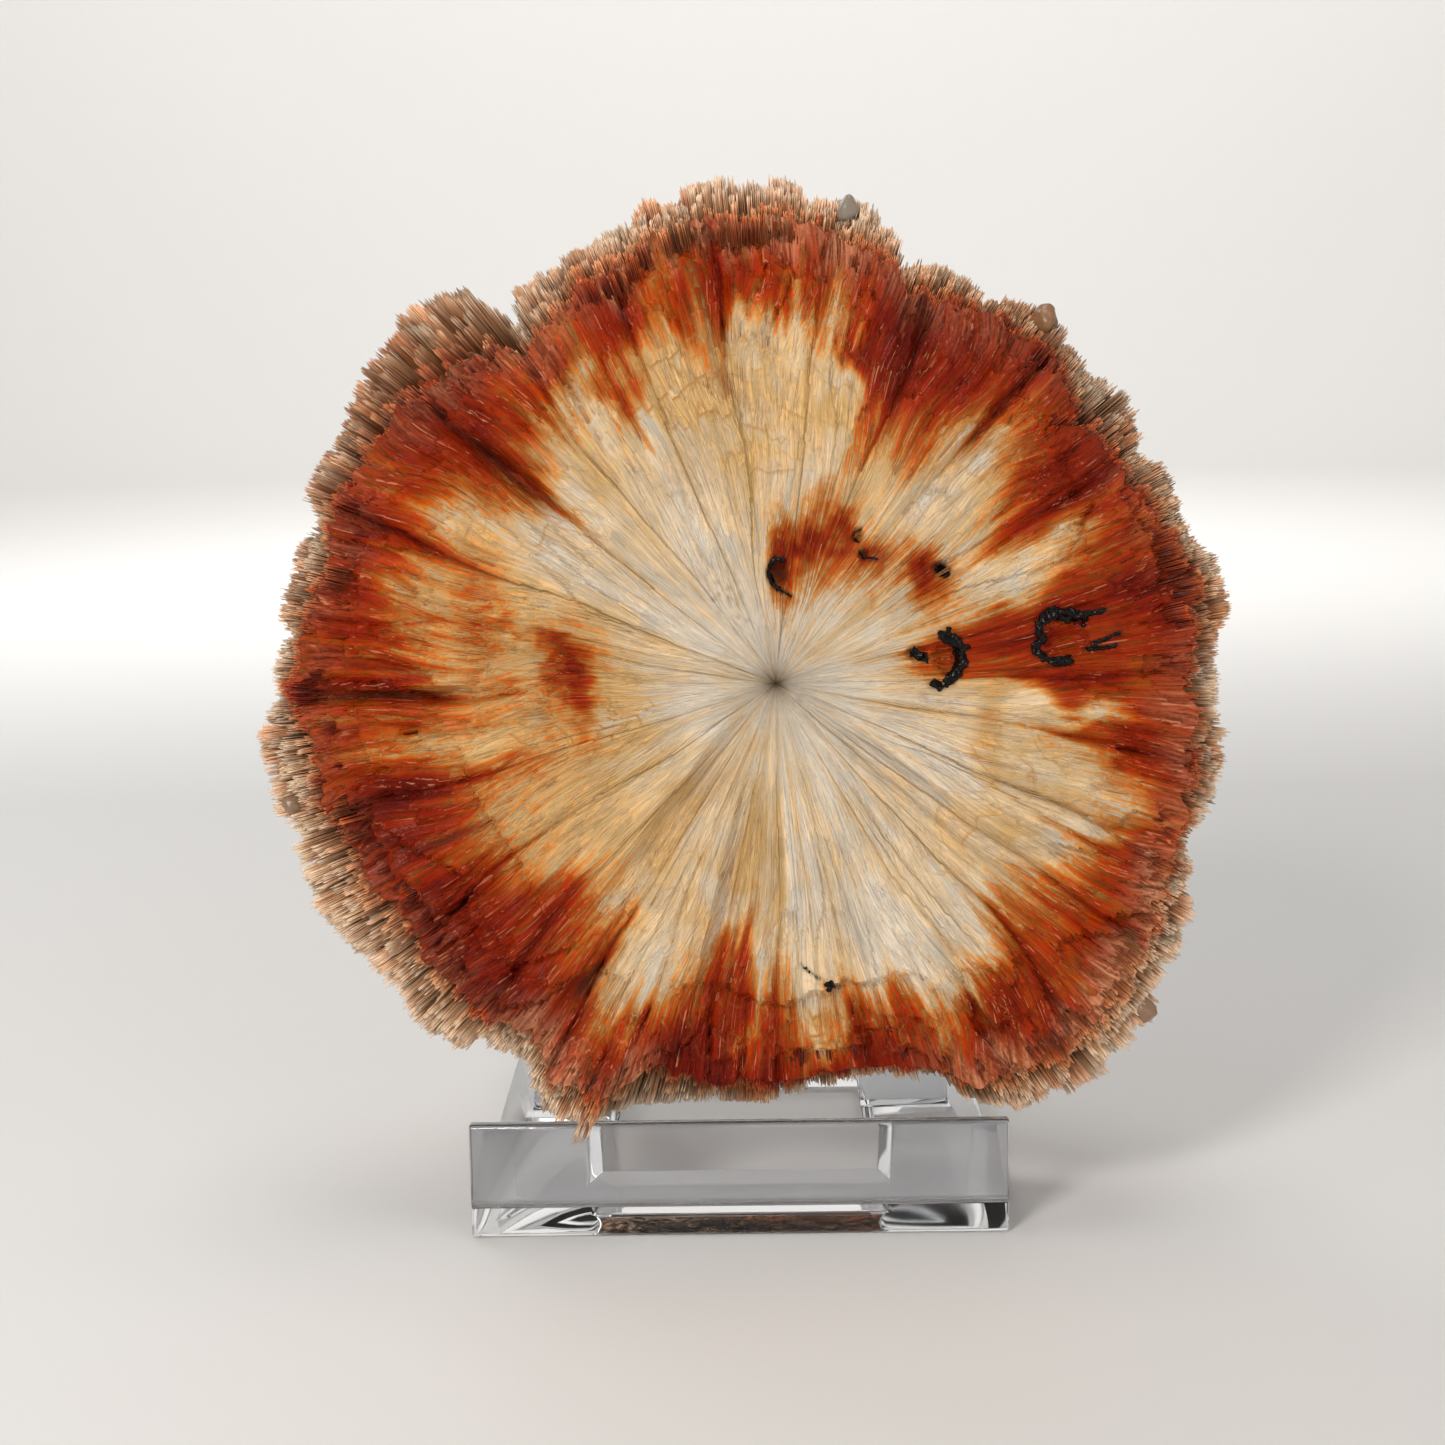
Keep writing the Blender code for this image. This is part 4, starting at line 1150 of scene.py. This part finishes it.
def growBundles(name, random, degrees, radius, out, slope, lengths, rust, tone, look, material):
    # bundles of side-by-side needles that end together, from where a bundle's middle ends and how steep it is
    count, each = len(degrees), look["perBundle"]
    wide, deep = random.uniform(*look["wide"], count), random.uniform(*look["deep"], count)
    own = np.repeat(np.arange(count), each)
    across = random.uniform(-1, 1, len(own)) * wide[own]
    behind = random.uniform(-1, 1, len(own)) * deep[own]
    slant = random.uniform(-0.5, 0.5, count)[own] * across
    turn = np.radians(degrees[own]) + across / radius[own]
    reach = radius[own] + slant + look["ragged"] * random.normal(0, 1, len(own))
    heading = np.stack([np.cos(turn), np.sin(turn), slope[own]], -1)
    swerve = random.normal(0, look["swerve"], (count, 3))[own]
    swerve = swerve + random.normal(0, bundleSpread["swerve"], (len(own), 3))
    tips = np.stack([np.cos(turn) * reach, np.sin(turn) * reach, out[own] + behind], -1)
    lengths = lengths[own] * random.uniform(*bundleSpread["lengths"], len(own))
    girths = random.uniform(*look["girth"], len(own))
    values = {
        "rust": np.clip(rust[own] + random.normal(0, bundleSpread["rust"], len(own)), 0, 1),
        "tone": np.clip(tone[own] + random.normal(0, bundleSpread["tone"], len(own)), 0, 1),
    }
    return growNeedles(name, tips, unit(unit(heading) + swerve), lengths, girths, values, material)


def sown(look):
    # a piece's own random numbers, how many bundles or needles, and the direction of each
    random, count = np.random.default_rng(look["seed"]), look["count"]
    return random, count, random.uniform(0, 360, count)


def tipReach(degrees, tier=0):
    # how far the needles reach: bundles beside each other end a little apart, differently in each tier
    reach = aroundTable(outline, degrees) + fringeTips["beyond"] + 0.35 * fibreNoise(degrees, 0, 26, 0, 120)
    for seed, (count, size) in enumerate(fringeTips["teeth"]):
        column = np.floor(degrees / 360 * count + 1.2 * fibreNoise(degrees, 0, 9, 0, 121 + seed)) % count
        reach = reach - size * chance(column, tier, 123 + seed) ** 2
    return reach


# How rusty the fringe is, by direction, and its painted light and shade: lighter at the lower left, darker at
# the upper left
fringeRustAndShade = (
    (0, 0.08, 0.0), (20, 0.16, -0.15), (35, 0.20, -0.25), (60, 0.16, -0.2), (80, 0.08, 0.0), (110, 0.08, 0.0),
    (125, 0.16, -0.2), (140, 0.27, -0.38), (155, 0.18, -0.25), (175, 0.08, -0.05), (200, -0.06, 0.2),
    (235, -0.08, 0.25), (250, 0.04, 0.0), (300, 0.04, 0.0), (340, 0.06, 0.0),
)

fringeBand = {
    "count": 1330,
    "perBundle": 14,
    "wide": (0.3, 1.1),
    "deep": (0.12, 0.35),
    "girth": (0.06, 0.13),
    "length": 3.0,  # from the edge of the face inwards
    "ragged": 0.22,
    "swerve": 0.025,
    "terraces": (0.12, 0.34, 0.6, 0.82),  # how far out of the way to the tips each one ends
    "seed": 3,
}


def makeFringeBand(material):
    # the terraces of needle ends between the rusty face and the outline
    look = fringeBand
    random, count, degrees = sown(look)
    reach, edge = tipReach(degrees), edgeRadius(degrees)
    share = random.choice(look["terraces"], count) + 0.1 * fibreNoise(degrees, 0, 12, 0, 90)
    share = np.clip(share + 0.05 * fibreNoise(degrees, 0, 40, 0, 91) + random.normal(0, 0.03, count), 0, 0.95)
    radius = edge + (reach - edge) * share
    out = fringeHeight(degrees, share) + random.normal(0, 0.15, count)
    pale = aroundTable(paleRim, degrees)
    rust = (0.8 - 0.3 * pale) - share + 0.25 * fibreNoise(degrees, radius, 12, 0.0, 92)
    rust = rust + aroundTable(fringeRustAndShade, degrees)
    # painted light and shade by direction, and lighter where the rim is pale: partly paler needle ends, partly
    # painted light on the shaded top edge
    tone = 0.55 + 0.16 * random.normal(0, 1, count) + 0.6 * aroundTable(fringeRustAndShade, degrees, 2) + 0.12 * pale
    lengths = look["length"] + (reach - edge) * share
    slope = out / radius
    return growBundles("fringeBand", random, degrees, radius, out, slope, lengths, rust, tone, look, material)


fringeTips = {
    "count": 1330,
    "perBundle": 14,
    "beyond": 1.5,  # mm past the table of radii
    "teeth": ((128, 1.8), (330, 1.1)),  # how many round the hub, and by how much they differ
    "wide": (0.4, 1.3),
    "deep": (0.15, 0.4),
    "girth": (0.06, 0.14),
    "tier": (0, 2.6),  # how far these lie behind the front of the fringe
    "tierDepth": 1.3,
    "length": 4.0,  # from the edge of the face inwards
    "ragged": 0.25,
    "swerve": 0.02,
    "seed": 33,
}
fringeUnder = dict(
    fringeTips, count=1340, tier=(1.8, 9.5), girth=(0.10, 0.22), wide=(0.5, 1.6), deep=(0.3, 0.7),
    swerve=0.03, seed=34,
)


def makeFringeTips(material, name="fringeTips", look=fringeTips):
    # the needles that end along the outline, one tier behind another
    random, count, degrees = sown(look)
    first, last = look["tier"]
    deep = first + (last - first) * random.uniform(0, 1, count) ** 1.5
    radius = tipReach(degrees, np.floor(deep / look["tierDepth"])) - np.abs(random.normal(0, 0.3, count))
    radius = radius - 0.05 * deep**1.5
    out = fringeHeight(degrees, np.ones(count)) + 0.6 - deep
    rust = 0.02 + 0.22 * fibreNoise(degrees, radius, 12, 0.0, 94) + aroundTable(fringeRustAndShade, degrees)
    # painted shade: darker the deeper a needle lies, and painted light and shade by direction
    tone = 0.68 + 0.18 * random.normal(0, 1, count) - 0.04 * deep + aroundTable(fringeRustAndShade, degrees, 2)
    lengths = radius - edgeRadius(degrees) + look["length"]
    slope = out / radius
    return growBundles(name, random, degrees, radius, out, slope, lengths, rust, tone, look, material)


def makeFringeUnder(material):
    return makeFringeTips(material, "fringeUnder", fringeUnder)


edging = {
    "count": 1080,
    "perBundle": 12,
    "wide": (0.3, 1.0),
    "deep": (0.12, 0.3),
    "girth": (0.05, 0.12),
    "length": 3.0,
    "sunk": 0.35,
    "ragged": 0.3,
    "swerve": 0.04,
    "seed": 13,
}


def makeEdging(material):
    # the broken ends of the rusty face, from its surface down to the fringe
    look = edging
    random, count, degrees = sown(look)
    edge = edgeRadius(degrees)
    share = random.uniform(-0.3, 1, count)
    radius = edge + np.where(share < 0, share * 6, random.uniform(-0.4, 1.2, count))
    onFace, behind = np.minimum(radius, edge), np.clip(share, 0, 1)
    surface = faceHeight(degrees, onFace)
    out = surface - look["sunk"] - behind * aroundTable(faceEdge, degrees, 2)
    level = (surface - faceHeight(degrees, onFace - look["length"])) / look["length"]
    slope = np.where(share < 0.2, level + 0.06, out / radius)
    pale = aroundTable(paleRim, degrees)
    rust = 1.0 - 0.35 * behind + 0.2 * fibreNoise(degrees, radius, 20, 0.0, 93) - 0.6 * pale
    # lighter where the rim is pale: partly the paler needle ends, partly painted light where the top edge lies
    # in shade
    tone = 0.45 + 0.2 * random.normal(0, 1, count) + 0.2 * pale
    lengths = np.full(count, look["length"])
    return growBundles("edgeNeedles", random, degrees, radius, out, slope, lengths, rust, tone, look, material)


backNeedles = {
    "count": 15000,
    "reach": 0.985,  # share of the way from the tips to the pole
    "girth": (0.5, 1.05),
    "length": 5.0,
    "bundleMm": 5.0,
    "swell": 0.8,  # mm that bundles stand up or sink
    "fineMm": 1.8,
    "fineSwell": 0.5,
    "proud": 0.1,
    "rustMm": 16,
    "seed": 4,
}


def makeBackNeedles(material):
    look = backNeedles
    random, count, degrees = sown(look)
    steps = np.linspace(0, look["reach"], 80)
    radius, out = domePlace(0, steps)
    strips = (radius[1:] + radius[:-1]) * np.hypot(np.diff(radius), np.diff(out))
    reached = np.concatenate([[0], np.cumsum(strips)])
    share = np.interp(random.uniform(0, reached[-1], count), reached, steps)  # evenly over the dome
    radius, out = domePlace(degrees, share)
    tips = np.stack([*acrossFace(degrees, radius), out], -1)
    bundle = latticeNoise(*(tips.T / look["bundleMm"]), 95)
    swell = look["swell"] * bundle + look["fineSwell"] * latticeNoise(*(tips.T / look["fineMm"]), 96)
    swell = swell + random.normal(0, 0.3, count)
    aims = unit(unit(tips) + random.normal(0, 0.05, (count, 3)))
    tips = tips + aims * (swell + look["proud"])[:, None]
    # painted shade: the tone follows the bundles, darker where they sink and lighter where they stand up
    values = {
        "tone": np.clip(0.5 + 0.35 * bundle + random.normal(0, 0.2, count), 0, 1),
        "rust": np.clip(0.15 + 0.5 * latticeNoise(*(tips.T / look["rustMm"]), 97), 0, 0.7),
    }
    lengths = random.uniform(0.8, 1.2, count) * look["length"]
    girths = random.uniform(*look["girth"], count)
    return growNeedles("backNeedles", tips, aims, lengths, girths, values, material)


splinters = {
    "count": 13000,
    "girth": (0.03, 0.07),
    "length": (2.0, 8.0),
    "proud": 0.05,
    "sunk": 0.08,  # their roots
    "swerve": 1.8,  # degrees
    "seed": 6,
}


def makeSplinters(material):
    look = splinters
    random, count, degrees = sown(look)
    edge = edgeRadius(degrees)
    radius = np.clip(np.sqrt(random.uniform(0.006, 1, count)) * edge, 3, edge + 0.8)
    lengths = np.minimum(random.uniform(*look["length"], count) * (0.35 + 0.65 * radius / 60), radius * 0.7)
    lengths = lengths * (1 - 0.6 * softStep(0.3, 0.6, rustAt(degrees, radius)))
    rootRadius = radius - lengths
    tipOut = faceHeight(degrees, np.minimum(radius, edge)) + random.uniform(-0.6, 1, count) * look["proud"]
    rootOut = faceHeight(degrees, rootRadius) - look["sunk"]
    tips = np.stack([*acrossFace(degrees, radius), tipOut], -1)
    grainRight, grainUp = grainAt(degrees, radius)
    heading = np.arctan2(grainUp, grainRight) + np.radians(random.normal(0, look["swerve"], count))
    roots = tips - np.stack([np.cos(heading) * lengths, np.sin(heading) * lengths, tipOut - rootOut], -1)
    inPit = (pitDepthAt(*tips.T[:2]) > 0.05) | (pitDepthAt(*roots.T[:2]) > 0.05)
    girths = random.uniform(*look["girth"], count) * (0.5 + 0.5 * radius / 60)
    middle = (radius + rootRadius) / 2
    values = {"tone": random.uniform(0, 1, count), "rust": rustAt(degrees, middle)}
    values["warm"] = warmAt(degrees, middle)
    tips, along, girths = tips[~inPit], (tips - roots)[~inPit], girths[~inPit]
    values = {key: numbers[~inPit] for key, numbers in values.items()}
    lengths = np.linalg.norm(along, axis=1)
    return growNeedles("faceSplinters", tips, unit(along), lengths, girths, values, material, splinterShape)


def makeCrust():
    random = np.random.default_rng(crust["seed"])
    spots, sizes = [], []
    for track, width, grain, count in crust["tracks"]:
        track = np.array(track)
        share = np.sort(random.uniform(0, len(track) - 1, count))
        at = np.minimum(share.astype(int), len(track) - 2)
        middle = track[at] + (track[at + 1] - track[at]) * (share - at)[:, None]
        spots.append(middle + random.normal(0, width * crust["scatter"], (count, 2)))
        sizes.append(grain * random.uniform(*crust["sizes"], count))
    spots, sizes = np.concatenate(spots), np.concatenate(sizes)
    degrees = np.degrees(np.arctan2(spots[:, 1], spots[:, 0]))
    out = faceHeight(degrees, np.hypot(*spots.T))
    stretch = Matrix.Diagonal(crust["stretch"])
    bm = bmesh.new()
    for place, size in zip(toFrame(*spots.T, out), sizes * mm):
        made = bmesh.ops.create_icosphere(bm, subdivisions=2, radius=size)
        turned = Matrix.Rotation(random.uniform(0, math.pi), 3, Vector(random.normal(0, 1, 3)).normalized())
        for vertex in made["verts"]:
            vertex.co = turned @ (stretch @ vertex.co) + Vector(place)
    piece = fromBmesh(bm, "darkCrust")
    melt = piece.modifiers.new("melt", "REMESH")
    melt.mode, melt.voxel_size, melt.use_smooth_shade = "VOXEL", crust["voxel"] * mm, True
    applied(piece).data.materials.append(crustMaterial())
    print("crust", len(piece.data.polygons), "faces")
    return piece


crustFinish = {
    "mottle": (1800, 3),  # scale and detail
    "stops": ((0.40, (0.001, 0.001, 0.001)), (0.75, (0.010, 0.005, 0.003))),
    "bump": {"Strength": 0.6, "Distance": 0.0002},
    "plain": {"Roughness": 0.22, "Specular IOR Level": 0.18},
}


def crustMaterial():
    look = crustFinish
    material, tree, shader = newMaterial("blackCrust", look["plain"])
    mottle = cloudNoise(tree, *look["mottle"])
    bump = put(tree, "ShaderNodeBump", {"Height": mottle, **look["bump"]})
    tree.links.new(colourRamp(tree, mottle, look["stops"]), shader.inputs["Base Color"])
    tree.links.new(bump.outputs[0], shader.inputs["Normal"])
    return material


# Rounded glassy grains among the needle tips
grains = {
    # degrees, radius, size, squash, colour
    "seats": (
        (52.8, 62.9, 2.2, 0.85, (0.40, 0.20, 0.09)), (80.5, 66.2, 1.9, 0.8, (0.40, 0.34, 0.27)),
        (317.7, 68.0, 1.8, 0.9, (0.42, 0.25, 0.15)), (193.1, 70.0, 1.7, 0.9, (0.42, 0.27, 0.16)),
    ),
    "behind": 2.6,
    "plain": {
        "Roughness": 0.32, "Transmission Weight": 0.35, "IOR": 1.51,
        "Subsurface Weight": 0.3, "Subsurface Radius": (1.0, 0.6, 0.4), "Subsurface Scale": 0.001,
    },
}


def makeGrains():
    bm = bmesh.new()
    tints = []
    for degrees, radius, size, squash, tint in grains["seats"]:
        edge = edgeRadius(np.array([degrees]))
        out = float(coarseHeight(np.array([degrees]), edge)[0]) - float(aroundTable(faceEdge, degrees, 2))
        middle = Vector((*acrossFace(degrees, radius), out - grains["behind"]))
        turn = Matrix.Rotation(math.radians(degrees), 3, "Z") @ Matrix.Diagonal((1, squash, squash))
        for vertex in bmesh.ops.create_icosphere(bm, subdivisions=4, radius=1)["verts"]:
            swell = 1 + 0.30 * noise.noise(vertex.co * 1.1 + Vector((degrees, 0, 0)))
            swell = swell + 0.05 * noise.noise(vertex.co * 4)
            vertex.co = Vector(toFrame(*(middle + turn @ vertex.co * size * swell)))
            tints.append((*tint, 1))
    bmesh.ops.recalc_face_normals(bm, faces=bm.faces)
    piece = fromBmesh(bm, "rimGrains")
    roundOff(piece.data)
    layer = piece.data.attributes.new("tint", "FLOAT_COLOR", "POINT")
    layer.data.foreach_set("color", np.array(tints, np.float32).ravel())
    material, tree, shader = newMaterial("glassyGrain", grains["plain"])
    tint = put(tree, "ShaderNodeAttribute", attribute_name="tint").outputs["Color"]
    tree.links.new(tint, shader.inputs["Base Color"])
    piece.data.materials.append(material)
    return piece


# The clear stand
easel = {
    "edge": 0.45,
    "segments": 3,
    "sharpDegrees": 25,
    "smears": (60.0, 4.0),  # scale and detail
    "roughness": (0.02, 0.12),
    "plain": {"Base Color": (0.97, 0.98, 1.0), "Transmission Weight": 1.0, "IOR": 1.49},
}


def makeEasel():
    bm = bmesh.new()
    bm.from_mesh(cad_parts["easel_stand"].data)
    bmesh.ops.remove_doubles(bm, verts=bm.verts, dist=1e-6)
    bmesh.ops.dissolve_limit(bm, angle_limit=math.radians(0.5), verts=bm.verts, edges=bm.edges)
    piece = fromBmesh(bm, "clearEasel")
    soften = piece.modifiers.new("soften", "BEVEL")
    soften.width, soften.segments, soften.limit_method = easel["edge"] * mm, easel["segments"], "ANGLE"
    soften.angle_limit = math.radians(easel["sharpDegrees"])
    mesh = applied(piece).data
    roundOff(mesh)
    mesh.set_sharp_from_angle(angle=math.radians(easel["sharpDegrees"]))
    mesh.materials.append(clearMaterial())
    return piece


def clearMaterial():
    material, tree, shader = newMaterial("clearPlastic", easel["plain"])
    smear = cloudNoise(tree, *easel["smears"])
    tree.links.new(ranged(tree, smear, 0.45, 0.75, *easel["roughness"]), shader.inputs["Roughness"])
    return material


studio = {
    "floor": {"Base Color": (0.78, 0.76, 0.73), "Roughness": 0.6},
    "floorDrop": 0.00005,  # keeps the floor and the underside of the clear stand apart
    "around": 96,
    "floorRings": 6,
    "coveRings": 12,
    "bowlRadius": 1.4,
    "cove": 0.5,
    "wall": 0.9,
    "world": (0.94, 0.96, 1.0),
    "worldStrength": 0.36,
    # place from the hub, heading (None is towards the hub), size, watts, colour
    "lamps": {
        "softLight1": ((-0.34, -0.60, 0.44), None, 0.18, 3.5, (1.0, 0.97, 0.93)),
        "softLight2": ((0.56, -0.54, 0.02), None, 0.40, 1.3, (1.0, 0.97, 0.94)),
        "softLight3": ((0.05, 0.12, 0.85), None, 0.45, 1.9, (1.0, 0.98, 0.95)),
        "softLight4": ((-0.50, 0.60, 0.45), None, 0.40, 1.5, (0.95, 0.97, 1.0)),
        "backdropLight": ((0, 0.70, 0.75), (0, 1.2, -0.6), 0.8, 11.0, (1, 1, 1)),
    },
}


def makeStudio():
    # a floor that curves up into a wall all round
    around, bowl, cove = studio["around"], studio["bowlRadius"], studio["cove"]
    turn = np.arange(1, studio["coveRings"] + 1) * math.pi / 2 / studio["coveRings"]
    flat = np.arange(1, studio["floorRings"] + 1) / studio["floorRings"]
    radius = np.concatenate([bowl * flat, bowl + cove * np.sin(turn), [bowl + cove]])[:, None]
    height = np.concatenate([0 * flat, cove * (1 - np.cos(turn)), [studio["wall"]]])[:, None]
    angle = np.arange(around) * math.tau / around
    places = np.broadcast_arrays(radius * np.cos(angle), radius * np.sin(angle), height)
    places = np.concatenate([[(0, 0, 0)], np.stack(places, -1).reshape(-1, 3)]) - (0, 0, studio["floorDrop"])
    faces = gridFaces(around, len(radius))[:-around]  # all but the end, which stays open
    floor = makeMesh("studioFloor", places, faces, smooth=True)
    floor.data.materials.append(newMaterial("paleFloor", studio["floor"])[0])

    for name, (offset, heading, size, power, colour) in studio["lamps"].items():
        lamp = bpy.data.lights.new(name, "AREA")
        lamp.size, lamp.energy, lamp.color = size, power, colour
        holder = addObject(name, lamp)
        holder.location = hubPlace + Vector(offset)
        holder.rotation_mode = "QUATERNION"
        holder.rotation_quaternion = (Vector(heading) if heading else -Vector(offset)).to_track_quat("-Z", "Y")

    world = bpy.data.worlds.new("studioAir")
    world.use_nodes = True
    air = world.node_tree.nodes["Background"].inputs
    settle(air["Color"], studio["world"])
    settle(air["Strength"], studio["worldStrength"])
    bpy.context.scene.world = world
    bpy.context.scene.view_settings.view_transform = "Standard"


viewpoint = {
    "place": (2.6, -315.0, 129.0),  # from the lip's foot
    "focalPixels": 2400,
    "imagePixels": 1445,
    "pitchDegrees": 10.2,
    "yawDegrees": 0.72,
    "rollDegrees": 0.9,
}


def makeCamera():
    lens = bpy.data.cameras.new("camera")
    lens.sensor_width = 36
    lens.lens = viewpoint["focalPixels"] / viewpoint["imagePixels"] * lens.sensor_width
    lens.clip_start = 0.01
    camera = addObject("camera", lens)
    turn = Matrix.Rotation(math.radians(viewpoint["yawDegrees"]), 4, "Z")
    turn = turn @ Matrix.Rotation(math.radians(90 - viewpoint["pitchDegrees"]), 4, "X")
    turn = turn @ Matrix.Rotation(math.radians(-viewpoint["rollDegrees"]), 4, "Z")
    camera.matrix_world = Matrix.Translation(lipFoot + Vector(viewpoint["place"]) * mm) @ turn
    bpy.context.scene.camera = camera


def dress(piece, slot, *nodes):
    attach(piece, "root")
    if nodes:
        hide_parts(*nodes)


makeFibreGroup()
makeBundleGroup()
makeNeedleTree()
body = makeBody()
body.data.materials.append(stoneMaterial())
dress(body, "scolecite", "scolecite_spray")
print("body", len(body.data.polygons), "faces")

tipMaterial = needleMaterial()
for makePiece in (makeFringeBand, makeFringeTips, makeFringeUnder, makeEdging, makeBackNeedles):
    dress(makePiece(tipMaterial), "scolecite")
dress(makeSplinters(splinterMaterial()), "scolecite")
dress(makeCrust(), "scolecite")
dress(makeGrains(), "scolecite")
print("crust and grains set")

dress(makeEasel(), "clear_plastic", "easel_stand")
print("easel softened")

makeStudio()
makeCamera()
print("studio and camera set")
